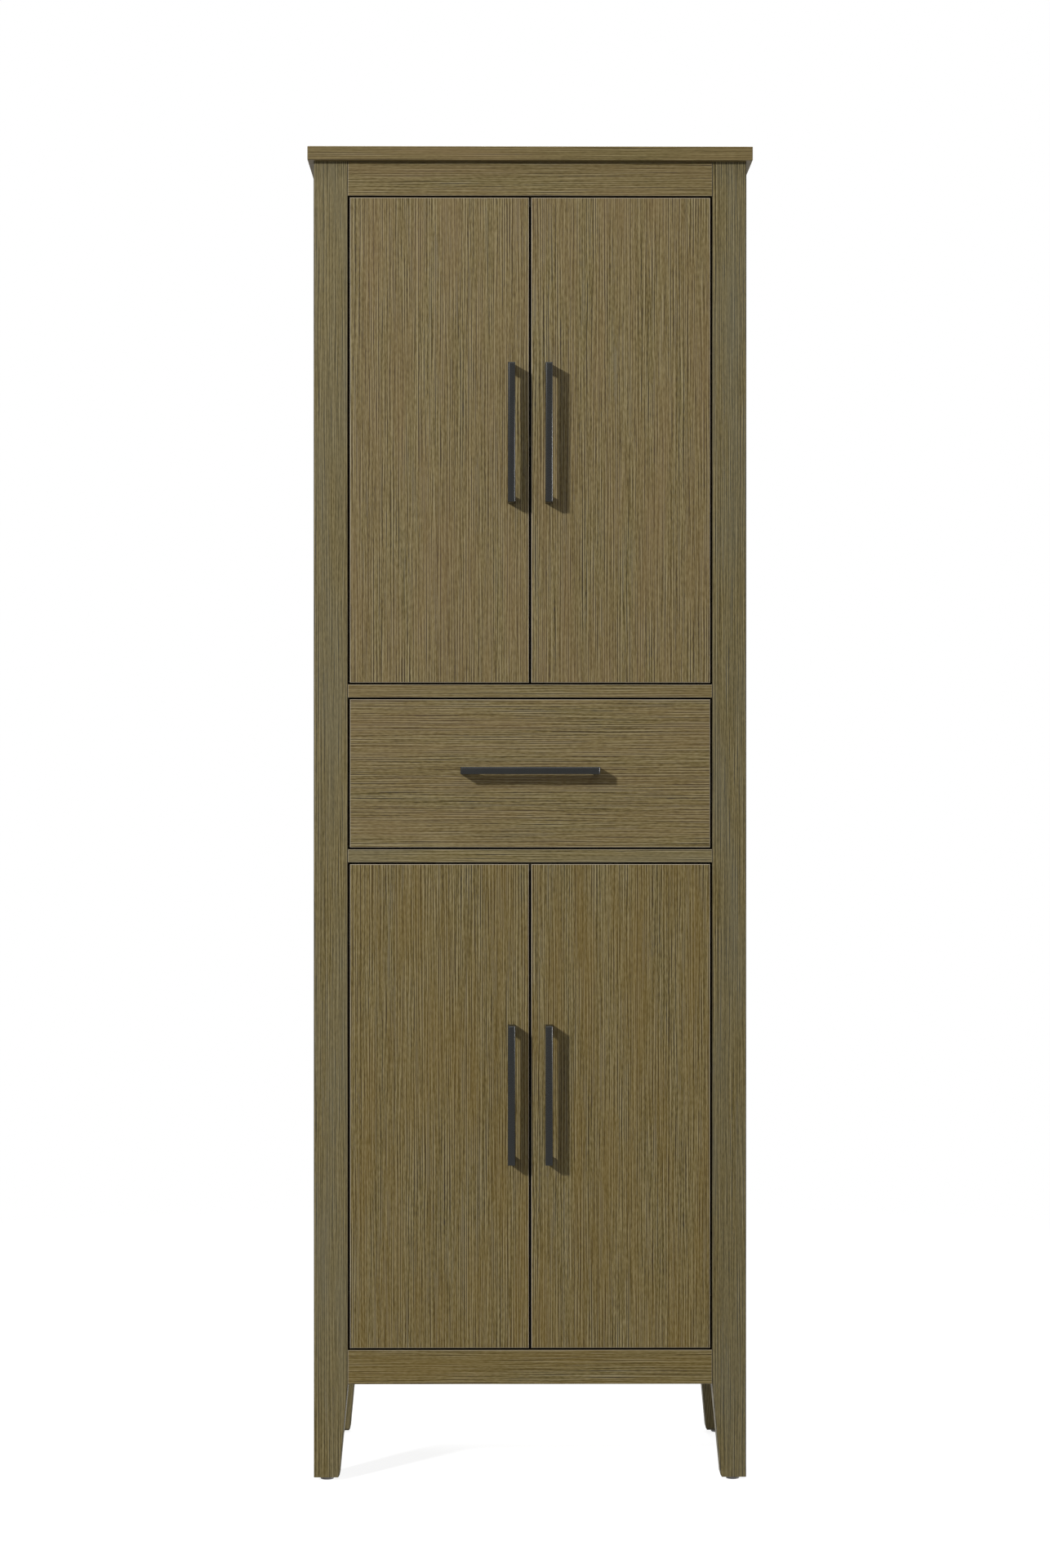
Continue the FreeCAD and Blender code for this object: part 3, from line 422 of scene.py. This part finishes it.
# A row holds the way of the grain on the face and on the ends, the ground tone, the contrast and the cast of
# the stain, the edge colour and its share on the rounded edges, and the share of painted shade on the
# narrow ones.
BOARDS = {
    "top_board": ("X", "Y", 0.43, 0.45, WARM, EDGE_HIGHLIGHT, 0.1, 0.0),
    "top_rail": ("X", "Z", 0.47, 0.75, WARM, EDGE_HIGHLIGHT, 0.35, 0.8),
    "upper_mid_rail": ("X", "Z", 0.50, 0.75, WARM, EDGE_HIGHLIGHT, 0.45, 0.8),
    "lower_mid_rail": ("X", "Z", 0.54, 0.8, COOL, EDGE_HIGHLIGHT, 0.45, 0.8),
    "bottom_rail": ("X", "Z", 0.475, 0.85, WARMER, EDGE_HIGHLIGHT, 0.45, 0.8),
    "drawer_front": ("X", "Z", 0.50, 1.15, WARM, EDGE_HIGHLIGHT, 0.8, 0.35),
    # The right front leg has a darker ground and a cooler cast than the left: painted shade where the light
    # falls off to the right.
    "front_leg_left": ("Z", "X", 0.46, 0.7, COOL, EDGE_SHADE, 0.85, 0.0),
    "front_leg_right": ("Z", "X", 0.42, 0.7, COOLER, EDGE_SHADE, 0.85, 0.0),
    "rear_leg_left": ("Z", "X", 0.47, 0.6, COOL, EDGE_SHADE, 0.5, 0.0),
    "rear_leg_right": ("Z", "X", 0.47, 0.6, COOL, EDGE_SHADE, 0.5, 0.0),
    "side_panel_left": ("Z", "Y", 0.49, 0.9, COOL, EDGE_HIGHLIGHT, 0.2, 0.0),
    "side_panel_right": ("Z", "Y", 0.49, 0.9, COOL, EDGE_HIGHLIGHT, 0.2, 0.0),
    # The right doors have a darker ground than the left, and the lower doors a darker ground and a warmer
    # cast than the upper: painted shade where the light falls off to the right and towards the bottom.
    "upper_left_door": ("Z", "X", 0.50, 1.15, WARM, EDGE_HIGHLIGHT, 0.8, 0.35),
    "upper_right_door": ("Z", "X", 0.49, 1.15, WARM, EDGE_HIGHLIGHT, 0.8, 0.35),
    "lower_left_door": ("Z", "X", 0.475, 1.15, WARMER, EDGE_HIGHLIGHT, 0.8, 0.35),
    "lower_right_door": ("Z", "X", 0.465, 1.15, WARMER, EDGE_HIGHLIGHT, 0.8, 0.35),
}


def dress(node, material):
    """Gives every material slot of a CAD node this finish."""
    for slot in nodes[node].material_slots:
        slot.material = material


for number, (node, (along, edge_along, *finish)) in enumerate(BOARDS.items()):
    offset = [step * number for step in BOARD_STEP]
    dress(node, veneer("stained_oak_veneer_" + node, along, edge_along, offset, *finish))
print("veneered boards:", len(BOARDS))

# %% [markdown]
# The boards inside are chipboard with a melamine face: paper printed with a quiet grain, pressed hot between
# polished plates, so it is flatter and a little shinier than veneer. The printed lines are broad and soft,
# and a fine pearl texture from the press plate breaks up the reflections. The real texture is under half a
# millimetre, and it is drawn coarser here so that it shows.

# %% Melamine inside
PEARL = 1.2  # mm
PRINT_BROAD = (9.0, 420.0)  # mm across and along
PRINT_NARROW = (2.6, 70.0)


def melamine(name, along):
    """Printed melamine with its grain along one axis."""
    material, tree = new_material(name)
    spot = add(tree, "TexCoord").outputs
    board = add(tree, "Mapping", {"Vector": spot["Object"], "Rotation": GRAIN_TURN[along]}).outputs[0]
    broad = grain_layer(tree, board, *PRINT_BROAD, 2.0)
    narrow = grain_layer(tree, board, *PRINT_NARROW, 1.0)
    lines = add(tree, "Math", {0: narrow, 1: broad}, operation="ADD")
    lines = add(tree, "Math", {0: lines.outputs[0], 1: 0.5}, operation="MULTIPLY")
    printed = add(tree, "ValToRGB", {0: lines.outputs[0]}, stops=((0.3, "#6d6041"), (0.7, "#8f8261")))
    pearl = grain_layer(tree, board, PEARL, PEARL, 1.0)
    dullness = add(tree, "MapRange", {"Value": pearl, "To Min": 0.36, "To Max": 0.50})
    relief = add(tree, "Bump", {"Strength": 0.15, "Distance": 0.1 * MM, "Height": pearl})
    surface = add(
        tree,
        "BsdfPrincipled",
        {
            "Base Color": printed.outputs[0],
            "Roughness": dullness.outputs[0],
            "Normal": relief.outputs[0],
            "IOR": 1.5,
            "Specular IOR Level": 0.4,
        },
    )
    add(tree, "OutputMaterial", {"Surface": surface.outputs[0]})
    return material


melamine_level = melamine("printed_melamine_level", "X")
melamine_upright = melamine("printed_melamine_upright", "Z")
melamine_deep = melamine("printed_melamine_deep", "Y")
for node in ("upper_divider", "lower_divider", "bottom_panel", "upper_shelf", "lower_shelf", "door_stops"):
    dress(node, melamine_level)
for node in ("rear_top_rail", "rear_bottom_rail"):
    dress(node, melamine_level)
dress("back_panel", melamine_upright)
dress("slide_battens", melamine_deep)
print("melamine finishes: level, upright and deep")

# %% [markdown]
# The drawer box is lacquered birch, and the dowels are bare beech. Both are pale, close woods: long, faint
# streaks, and short dark flecks where the rays of the wood are cut. The lacquer gives the birch a soft sheen,
# and the beech is left as dull as it was turned. One function makes both.

# %% Birch and beech
STREAK = (8.0, 260.0)  # mm across and along
RAY = (1.1, 5.0)
RAY_DARK = {"From Min": 0.30, "From Max": 0.42, "To Min": -0.18, "To Max": 0.0}  # the darkest spots only
BIRCH_DARK = "#b8945f"
BIRCH_PALE = "#dcc092"


def pale_wood(name, along, dark, pale, dullness):
    """A pale, even wood with its grain along one axis."""
    material, tree = new_material(name)
    spot = add(tree, "TexCoord").outputs
    board = add(tree, "Mapping", {"Vector": spot["Object"], "Rotation": GRAIN_TURN[along]}).outputs[0]
    streak = grain_layer(tree, board, *STREAK, 3.0)
    fleck = grain_layer(tree, board, *RAY, 0.0)
    speck = add(tree, "MapRange", {"Value": fleck, **RAY_DARK})
    tone = add(tree, "Math", {0: streak, 1: speck.outputs[0]}, operation="ADD")
    colour = add(tree, "ValToRGB", {0: tone.outputs[0]}, stops=((0.2, dark), (0.75, pale)))
    relief = add(tree, "Bump", {"Strength": 0.2, "Distance": 0.1 * MM, "Height": tone.outputs[0]})
    roughness = add(tree, "MapRange", {"Value": streak, "To Min": dullness + 0.08, "To Max": dullness - 0.08})
    surface = add(
        tree,
        "BsdfPrincipled",
        {"Base Color": colour.outputs[0], "Roughness": roughness.outputs[0], "Normal": relief.outputs[0]},
    )
    add(tree, "OutputMaterial", {"Surface": surface.outputs[0]})
    return material


birch_deep = pale_wood("lacquered_birch_deep", "Y", BIRCH_DARK, BIRCH_PALE, 0.38)
birch_level = pale_wood("lacquered_birch_level", "X", BIRCH_DARK, BIRCH_PALE, 0.38)
dress("drawer_side_left", birch_deep)
dress("drawer_side_right", birch_deep)
for node in ("drawer_box_front", "drawer_box_back", "drawer_bottom"):
    dress(node, birch_level)
dress("frame_dowels", pale_wood("bare_beech", "X", "#b98a58", "#d8b080", 0.6))
print("drawer box in birch, dowels in beech")

# %% [markdown]
# The pulls are zinc bars with a black powder coat. The powder is sprayed dry and melted on, which leaves a
# faintly pebbled skin with a satin sheen: almost black face on, with a bright line where an edge turns
# towards a lamp. The pebbles are about a third of a millimetre, drawn twice as large so that they show.

# %% Black powder coat
PEBBLE = 0.7  # mm
COAT_CLOUD = 14.0  # mm

black_coat, tree = new_material("black_powder_coat")
spot = add(tree, "TexCoord").outputs
pebble = grain_layer(tree, spot["Object"], PEBBLE, PEBBLE, 1.0)
cloud = grain_layer(tree, spot["Object"], COAT_CLOUD, COAT_CLOUD, 2.0)
shade = add(tree, "ValToRGB", {0: cloud}, stops=((0.3, "#0b0c0a"), (0.7, "#141512")))
dullness = add(tree, "MapRange", {"Value": pebble, "To Min": 0.22, "To Max": 0.34})
relief = add(tree, "Bump", {"Strength": 0.05, "Distance": 0.04 * MM, "Height": pebble})
surface = add(
    tree,
    "BsdfPrincipled",
    {
        "Base Color": shade.outputs[0],
        "Roughness": dullness.outputs[0],
        "Normal": relief.outputs[0],
        "IOR": 1.5,
        "Specular IOR Level": 0.34,
    },
)
add(tree, "OutputMaterial", {"Surface": surface.outputs[0]})
print("powder coat pebble", PEBBLE, "mm")

# %% [markdown]
# The hardware inside is steel in two finishes. The cups, pins and screws are bright nickel, plated over
# polished steel, with faint cloudy differences in the polish. The hinge arms, their plates and the drawer
# slides are plated black, because the photograph shows nothing bright in the gaps beside the doors.

# %% Plated steel
POLISH_CLOUD = 9.0  # mm
SCRATCH = (0.8, 30.0)  # mm across and along
SCRATCH_SHARE = 0.4
POLISH = {"From Min": 0.4, "From Max": 1.0}


def plated_steel(name, dark, pale, shiniest, dullest):
    """Plated steel whose polish varies in soft clouds and fine scratches."""
    material, tree = new_material(name)
    spot = add(tree, "TexCoord").outputs
    cloud = grain_layer(tree, spot["Object"], POLISH_CLOUD, POLISH_CLOUD, 2.0)
    scratch = grain_layer(tree, spot["Object"], *SCRATCH, 1.0)
    mixed = add(tree, "Math", {0: scratch, 1: SCRATCH_SHARE, 2: cloud}, operation="MULTIPLY_ADD")
    colour = add(tree, "ValToRGB", {0: mixed.outputs[0]}, stops=((0.4, dark), (1.0, pale)))
    polish = {"Value": mixed.outputs[0], **POLISH, "To Min": shiniest, "To Max": dullest}
    dullness = add(tree, "MapRange", polish)
    relief = add(tree, "Bump", {"Strength": 0.08, "Distance": 0.05 * MM, "Height": scratch})
    surface = add(
        tree,
        "BsdfPrincipled",
        {
            "Base Color": colour.outputs[0],
            "Metallic": 1.0,
            "Roughness": dullness.outputs[0],
            "Normal": relief.outputs[0],
        },
    )
    add(tree, "OutputMaterial", {"Surface": surface.outputs[0]})
    return material


nickel = plated_steel("nickel_plated_steel", "#b3aea4", "#d2cec6", 0.20, 0.36)
black_plate = plated_steel("black_zinc_plated_steel", "#1c1c1d", "#2b2b2c", 0.34, 0.52)
DOORS = ("upper_left", "upper_right", "lower_left", "lower_right")
for door in DOORS:
    dress(door + "_hinge_cups", nickel)
    dress(door + "_hinge_pins", nickel)
for node in ("hinge_arms", "hinge_plates"):
    dress(node, black_plate)
for member in ("outer", "middle", "inner"):
    dress("slide_" + member + "_members", black_plate)
print("plated steel: nickel and black zinc")

# %% [markdown]
# The glides under the feet are moulded polypropylene, and the dots that stop the doors are soft, milky
# polyurethane. Moulded plastic copies the faint texture of its mould, which breaks up its shine. The texture
# is drawn coarser than it is so that it shows.

# %% Plastics
MOULD_CLOUD = 5.0  # mm
MOULD_GRAIN = 0.7  # mm


def moulded(name, dark, pale, dullness):
    """A moulded plastic with a faint mould texture."""
    material, tree = new_material(name)
    spot = add(tree, "TexCoord").outputs
    cloud = grain_layer(tree, spot["Object"], MOULD_CLOUD, MOULD_CLOUD, 2.0)
    speck = grain_layer(tree, spot["Object"], MOULD_GRAIN, MOULD_GRAIN, 0.0)
    colour = add(tree, "ValToRGB", {0: cloud}, stops=((0.3, dark), (0.7, pale)))
    roughness = add(tree, "MapRange", {"Value": speck, "To Min": dullness - 0.08, "To Max": dullness + 0.08})
    relief = add(tree, "Bump", {"Strength": 0.1, "Distance": 0.05 * MM, "Height": speck})
    surface = add(
        tree,
        "BsdfPrincipled",
        {"Base Color": colour.outputs[0], "Roughness": roughness.outputs[0], "Normal": relief.outputs[0]},
    )
    add(tree, "OutputMaterial", {"Surface": surface.outputs[0]})
    return material


glide_plastic = moulded("grey_polypropylene", "#cbc8c9", "#d8d5d6", 0.5)
bumper_plastic = moulded("milky_polyurethane", "#bdbdb6", "#d2d2cb", 0.35)
print("plastics: glides and bumpers")

# %% [markdown]
# A new piece starts as a bmesh, an open mesh that operators shape step by step. When it is done, its doubles
# are merged, its faces are turned outwards, and it is tied to the part of the cabinet that carries it.
# Faces that meet at a small angle are shaded as one curve, and sharper edges stay crisp.

# %% Keeping a piece
CRISP = math.radians(32)
SAME_SPOT = 0.001 * MM
BEVEL = {"affect": "EDGES", "profile": 0.5, "material": -1, "clamp_overlap": True}


def keep(name, bm, material, body, slot, *replaced):
    """Makes a finished bmesh a piece that rides on a body and stands for these CAD nodes."""
    bmesh.ops.remove_doubles(bm, verts=bm.verts, dist=SAME_SPOT)
    bmesh.ops.recalc_face_normals(bm, faces=bm.faces)
    mesh = bpy.data.meshes.new(name)
    bm.to_mesh(mesh)
    bm.free()
    mesh.shade_smooth()
    mesh.set_sharp_from_angle(angle=CRISP)
    mesh.materials.append(material)
    piece = bpy.data.objects.new(name, mesh)
    bpy.context.scene.collection.objects.link(piece)
    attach(piece, body)
    if replaced:
        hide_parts(*replaced)
    print(name, "with", len(mesh.polygons), "faces on", body)


def turned(point, axis):
    """The matrix that carries a shape made on the Z axis to a point, with its axis along another."""
    return Matrix.Translation(point) @ Vector(axis).to_track_quat("Z", "Y").to_matrix().to_4x4()


def copies(bm, places):
    """Repeats what is in the bmesh at each matrix, and takes the pattern away."""
    pattern = bm.verts[:] + bm.edges[:] + bm.faces[:]
    for place in places:
        made = bmesh.ops.duplicate(bm, geom=pattern)["geom"]
        verts = [part for part in made if isinstance(part, bmesh.types.BMVert)]
        bmesh.ops.transform(bm, matrix=place, verts=verts)
    spent = [part for part in pattern if isinstance(part, bmesh.types.BMVert)]
    bmesh.ops.delete(bm, geom=spent, context="VERTS")


print("edges stay crisp beyond", round(math.degrees(CRISP)), "degrees")

# %% [markdown]
# A pull is a square bar on two short posts. It could be three boxes pushed together, but then the corners
# would not run round. Here one box is cut across twice and the two end fields of its back are drawn out into
# posts, so it is one skin. The front edges get the broad chamfer that catches the light, and then every edge
# a small round, as tumbling gives a casting.

# %% Pulls
PULL_W = 10 * MM
PULL_BAR_D = 10 * MM
PULL_POST = 10 * MM
PULL_CHAMFER = 1.5 * MM
PULL_ROUND = 0.3 * MM


def bar_pull(length, projection):
    """A bar pull that stands on y = 0 with its length along Z."""
    bm = bmesh.new()
    middle = Vector((0.0, PULL_BAR_D / 2 - projection, 0.0))
    shape = Matrix.Translation(middle) @ Matrix.Diagonal((PULL_W, PULL_BAR_D, length, 1.0))
    bmesh.ops.create_cube(bm, size=1.0, matrix=shape)
    field = length / 2 - PULL_POST
    for height in (-field, field):
        everything = bm.verts[:] + bm.edges[:] + bm.faces[:]
        bmesh.ops.bisect_plane(bm, geom=everything, plane_co=(0.0, 0.0, height), plane_no=(0.0, 0.0, 1.0))
    bm.normal_update()
    ends = [f for f in bm.faces if f.normal.y > 0.9 and abs(f.calc_center_median().z) > field]
    drawn = bmesh.ops.extrude_discrete_faces(bm, faces=ends)["faces"]
    verts = {v for f in drawn for v in f.verts}
    bmesh.ops.translate(bm, verts=list(verts), vec=(0.0, projection - PULL_BAR_D, 0.0))
    bmesh.ops.dissolve_limit(bm, angle_limit=math.radians(1), verts=bm.verts, edges=bm.edges)
    front = [e for e in bm.edges if all(v.co.y < PULL_CHAMFER - projection for v in e.verts)]
    bmesh.ops.bevel(bm, geom=front, offset=PULL_CHAMFER, segments=1, **BEVEL)
    sharp = [e for e in bm.edges if e.calc_face_angle(0.0) > CRISP and any(v.co.y < -MM for v in e.verts)]
    bmesh.ops.bevel(bm, geom=sharp, offset=PULL_ROUND, segments=2, **BEVEL)
    return bm


for door in (*DOORS, "drawer"):
    node = door + "_pull"
    low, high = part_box(node)
    size = high - low
    upright = size.z > size.x
    bm = bar_pull(max(size.x, size.z), size.y)
    if not upright:
        bmesh.ops.rotate(bm, verts=bm.verts, cent=(0, 0, 0), matrix=Matrix.Rotation(math.pi / 2, 3, "Y"))
    bmesh.ops.translate(bm, verts=bm.verts, vec=((low.x + high.x) / 2, high.y, (low.z + high.z) / 2))
    body = door if door == "drawer" else door + "_door"
    keep(node + "_cast", bm, black_coat, body, "black_metal", node)

# %% [markdown]
# The screws that show are pan heads with a cross for the driver. A head starts as a flat disc. Eight straight
# cuts part it into a grid, and the fields that make a cross are pushed down, narrowing as they go, like the
# punch that forms a real one. The rim is then drawn down into a wall and rounded over.

# %% Screw heads
CROSS_ARM = 0.62  # of the head's radius
CROSS_HALF_W = 0.13
CROSS_DEPTH = 0.7  # of the head's height
CROSS_FLOOR = 0.75  # of the cross at the top
HEAD_ROUND = 0.55  # of the head's height
HEAD_SIDES = 24
SHANK_SIDES = 10
SHANK_TIP = 0.3  # of the shank's radius


def pan_screw(head_r, head_h, shank_r, shank_l):
    """A screw on the Z axis, with its head seated on z = 0 and its shank below."""
    bm = bmesh.new()
    top = Matrix.Translation((0.0, 0.0, head_h))
    bmesh.ops.create_circle(bm, cap_ends=True, segments=HEAD_SIDES, radius=head_r, matrix=top)
    arm = CROSS_ARM * head_r
    half = CROSS_HALF_W * head_r
    for normal in ((1.0, 0.0, 0.0), (0.0, 1.0, 0.0)):
        for cut in (-arm, -half, half, arm):
            everything = bm.verts[:] + bm.edges[:] + bm.faces[:]
            bmesh.ops.bisect_plane(bm, geom=everything, plane_co=Vector(normal) * cut, plane_no=normal)
    rim = [e for e in bm.edges if e.is_boundary]
    cross = []
    for face in bm.faces:
        spot = face.calc_center_median()
        reach = max(abs(spot.x), abs(spot.y))
        if reach < arm and min(abs(spot.x), abs(spot.y)) < half:
            cross.append(face)
    sunk = bmesh.ops.extrude_face_region(bm, geom=cross)["geom"]
    sunk = [part for part in sunk if isinstance(part, bmesh.types.BMVert)]
    bmesh.ops.scale(bm, verts=sunk, vec=(CROSS_FLOOR, CROSS_FLOOR, 1.0))
    bmesh.ops.translate(bm, verts=sunk, vec=(0.0, 0.0, -CROSS_DEPTH * head_h))
    wall = bmesh.ops.extrude_edge_only(bm, edges=rim)["geom"]
    lower = [part for part in wall if isinstance(part, bmesh.types.BMVert)]
    bmesh.ops.translate(bm, verts=lower, vec=(0.0, 0.0, -head_h))
    bmesh.ops.bevel(bm, geom=rim, offset=HEAD_ROUND * head_h, segments=3, **BEVEL)
    bmesh.ops.holes_fill(bm, edges=[e for e in bm.edges if e.is_boundary])
    shank = Matrix.Translation((0.0, 0.0, -shank_l / 2))
    bmesh.ops.create_cone(
        bm,
        cap_ends=True,
        segments=SHANK_SIDES,
        radius1=SHANK_TIP * shank_r,
        radius2=shank_r,
        depth=shank_l,
        matrix=shank,
    )
    return bm


print("a screw head has", HEAD_SIDES, "sides")

# %% [markdown]
# Two screws hold each pull, driven from the inside of the door or the drawer. Their heads lie where the
# solid's box ends, so the box gives their places.

# %% Screws of the pulls
PULL_SCREW = (4.5 * MM, 2.2 * MM, 2.0 * MM, 26 * MM)  # head's radius and height, shank's radius and length

for door in (*DOORS, "drawer"):
    node = door + "_pull_screws"
    low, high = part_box(node)
    head_r, head_h = PULL_SCREW[:2]
    if door == "drawer":
        spots = [(x, (low.z + high.z) / 2) for x in (low.x + head_r, high.x - head_r)]
    else:
        spots = [((low.x + high.x) / 2, z) for z in (low.z + head_r, high.z - head_r)]
    bm = pan_screw(*PULL_SCREW)
    copies(bm, [turned((x, high.y - head_h, z), (0, 1, 0)) for x, z in spots])
    body = door if door == "drawer" else door + "_door"
    keep(node + "_cross_head", bm, nickel, body, "steel", node)

# %% [markdown]
# Two screws fix each hinge plate to the frame, and a third one between them clamps the arm to the plate. The
# doors give the heights, because every hinge sits at the same distance from the end of its door.

# %% Screws of the hinge plates
WOOD_SCREW = (3.4 * MM, 1.6 * MM, 1.7 * MM, 14 * MM)
PLATE_T = 3 * MM
ARM_T = 3 * MM
PLATE_SPREAD = 32 * MM
HINGE_INSET = 90 * MM

half_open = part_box("top_rail")[1].x
low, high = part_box("hinge_plate_screws")
plate_y = (low.y + high.y) / 2
places = []
for door in ("upper_left_door", "lower_left_door"):
    door_low, door_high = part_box(door)
    for z in (door_low.z + HINGE_INSET, door_high.z - HINGE_INSET):
        for hand in (-1, 1):
            inward = (-hand, 0, 0)
            seat = hand * (half_open - PLATE_T)
            places.append(turned((seat, plate_y, z - PLATE_SPREAD / 2), inward))
            places.append(turned((seat, plate_y, z + PLATE_SPREAD / 2), inward))
            places.append(turned((seat - hand * ARM_T, plate_y, z), inward))
bm = pan_screw(*WOOD_SCREW)
copies(bm, places)
keep("hinge_plate_screws_cross_head", bm, nickel, "cabinet", "steel", "hinge_plate_screws")

# %% [markdown]
# A hinge cup is pressed into its bore in the door, and a screw through each of its two ears keeps it there.
# The heads are low, because there is little room behind a closed door.

# %% Screws of the hinge cups
CUP_SCREW = (3.2 * MM, 1.1 * MM, 1.6 * MM, 10 * MM)
CUP_IN = 21.5 * MM  # door's edge to the middle of a hinge cup
FLANGE_T = 1.5 * MM
EAR_SPREAD = 44 * MM

for door in DOORS:
    door_low, door_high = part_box(door + "_door")
    x = door_low.x + CUP_IN if "left" in door else door_high.x - CUP_IN
    y = door_high.y + FLANGE_T
    heights = (door_low.z + HINGE_INSET, door_high.z - HINGE_INSET)
    bm = pan_screw(*CUP_SCREW)
    copies(bm, [turned((x, y, z + s * EAR_SPREAD / 2), (0, 1, 0)) for z in heights for s in (-1, 1)])
    keep(door + "_cup_screws", bm, nickel, door + "_door", "steel")

# %% [markdown]
# The back is a thin panel, screwed to the rear rail at the top and to the edges of the three fixed boards,
# three screws to a row. The fixed boards lie level with the tops of the front rails, which give the heights.

# %% Screws of the back
BACK_SPACING = 100 * MM
PANEL_HALF_T = 9 * MM
REAR_RAIL_HALF = 30 * MM

rows = [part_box("top_rail")[1].z - REAR_RAIL_HALF]
rows += [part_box(rail)[1].z - PANEL_HALF_T for rail in ("upper_mid_rail", "lower_mid_rail", "bottom_rail")]
seat_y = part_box("back_panel_screws")[1].y - WOOD_SCREW[1]
bm = pan_screw(*WOOD_SCREW)
copies(bm, [turned((x * BACK_SPACING, seat_y, z), (0, 1, 0)) for z in rows for x in (-1, 0, 1)])
keep("back_panel_screws_cross_head", bm, nickel, "cabinet", "steel", "back_panel_screws")

# %% [markdown]
# Four screws hold the drawer's front to its box, and three on each side hold the runners. They show when the
# drawer is open: the first from above, and the others inside the channel of the runner.

# %% Screws of the drawer
FRONT_SCREW_X = 150 * MM
FRONT_SCREW_Z = 40 * MM
RUNNER_WEB = 8.5 * MM  # free edge of a runner's lips to the face of its web
RUNNER_END = 25 * MM
RUNNER_SCREW = (3.4 * MM, 1.6 * MM, 1.7 * MM, 10 * MM)

low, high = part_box("drawer_box_front")
middle_z = (low.z + high.z) / 2
spots = [(x, middle_z + z) for x in (-FRONT_SCREW_X, FRONT_SCREW_X) for z in (-FRONT_SCREW_Z, FRONT_SCREW_Z)]
bm = pan_screw(*WOOD_SCREW)
copies(bm, [turned((x, high.y, z), (0, 1, 0)) for x, z in spots])
keep("drawer_front_screws", bm, nickel, "drawer", "steel")

low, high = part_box("slide_inner_members")
middle_z = (low.z + high.z) / 2
rows = (low.y + RUNNER_END, (low.y + high.y) / 2, high.y - RUNNER_END)
places = [turned((low.x + RUNNER_WEB, y, middle_z), (-1, 0, 0)) for y in rows]
places += [turned((high.x - RUNNER_WEB, y, middle_z), (1, 0, 0)) for y in rows]
bm = pan_screw(*RUNNER_SCREW)
copies(bm, places)
keep("drawer_runner_screws", bm, nickel, "drawer", "steel")

# %% [markdown]
# The round pieces are turned: half of the outline is drawn as a chain of edges beside the Z axis and spun
# right round, as a lathe would. A cylinder could be squeezed into shape instead, but a drawn outline shows
# every lip and round at its real size.

# %% Turned pieces
TURN_STEPS = 28


def spun(outline):
    """A solid of revolution about Z from (radius, height) pairs in millimetres, open ends on the axis."""
    bm = bmesh.new()
    verts = [bm.verts.new((radius * MM, 0.0, height * MM)) for radius, height in outline]
    edges = [bm.edges.new(pair) for pair in zip(verts, verts[1:])]
    bmesh.ops.spin(
        bm,
        geom=verts + edges,
        cent=(0.0, 0.0, 0.0),
        axis=(0.0, 0.0, 1.0),
        angle=2 * math.pi,
        steps=TURN_STEPS,
        use_merge=True,
    )
    bmesh.ops.remove_doubles(bm, verts=bm.verts, dist=SAME_SPOT)
    return bm


print("turned in", TURN_STEPS, "steps")

# %% [markdown]
# A glide is a flat button pressed into the end of a leg. It has a hollow in the middle of its tread, so that
# it stands on a ring and doesn't rock, and a flange against the wood.

# %% Foot glides
GLIDE_R = 9.6 * MM
TREAD = ((0, 0.6), (3.2, 0.6), (3.6, 0.1), (8.3, 0.0), (8.9, 0.2), (9.2, 0.7))
FLANGE = ((9.3, 3.9), (9.5, 4.1), (9.6, 4.5), (9.6, 5), (0, 5))

low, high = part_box("foot_glides")
bm = spun(TREAD + FLANGE)
corners = [(x, y) for x in (low.x + GLIDE_R, high.x - GLIDE_R) for y in (low.y + GLIDE_R, high.y - GLIDE_R)]
copies(bm, [Matrix.Translation((x, y, low.z)) for x, y in corners])
keep("foot_glides_moulded", bm, glide_plastic, "cabinet", "glide_plastic", "foot_glides")

# %% [markdown]
# A bumper is a drop of soft plastic on the stop behind a door. It sets as a low dome, flat where it sticks.

# %% Door bumpers
BUMPER_R = 4 * MM
BUMPER_X = (-110 * MM, -40 * MM, 40 * MM, 110 * MM)
DOME = ((0, 1.8), (1.4, 1.72), (2.6, 1.45), (3.5, 0.95), (3.9, 0.4), (4, 0), (0, 0))

low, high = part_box("door_bumpers")
bm = spun(DOME)
spots = [(x, z) for x in BUMPER_X for z in (low.z + BUMPER_R, high.z - BUMPER_R)]
copies(bm, [turned((x, high.y, z), (0, -1, 0)) for x, z in spots])
keep("door_bumpers_domed", bm, bumper_plastic, "cabinet", "bumper_rubber", "door_bumpers")

# %% [markdown]
# A shelf pin is a steel peg. One end is pushed into a hole in the side panel up to the collar, and the shelf
# rests on the other end.

# %% Shelf pins
PIN_R = 2.5 * MM
BURIED_END = ((0, 0), (2.2, 0), (2.5, 0.4), (2.5, 9))
COLLAR = ((3.5, 9.05), (3.5, 9.8))
FREE_END = ((2.5, 9.85), (2.5, 17.2), (2.2, 17.7), (1.6, 18), (0, 18))

low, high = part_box("shelf_pins")
bm = spun(BURIED_END + COLLAR + FREE_END)
places = []
for y in (low.y + PIN_R, high.y - PIN_R):
    for z in (low.z + PIN_R, high.z - PIN_R):
        places.append(turned((low.x, y, z), (1, 0, 0)))
        places.append(turned((high.x, y, z), (-1, 0, 0)))
copies(bm, places)
keep("shelf_pins_collared", bm, nickel, "cabinet", "steel", "shelf_pins")
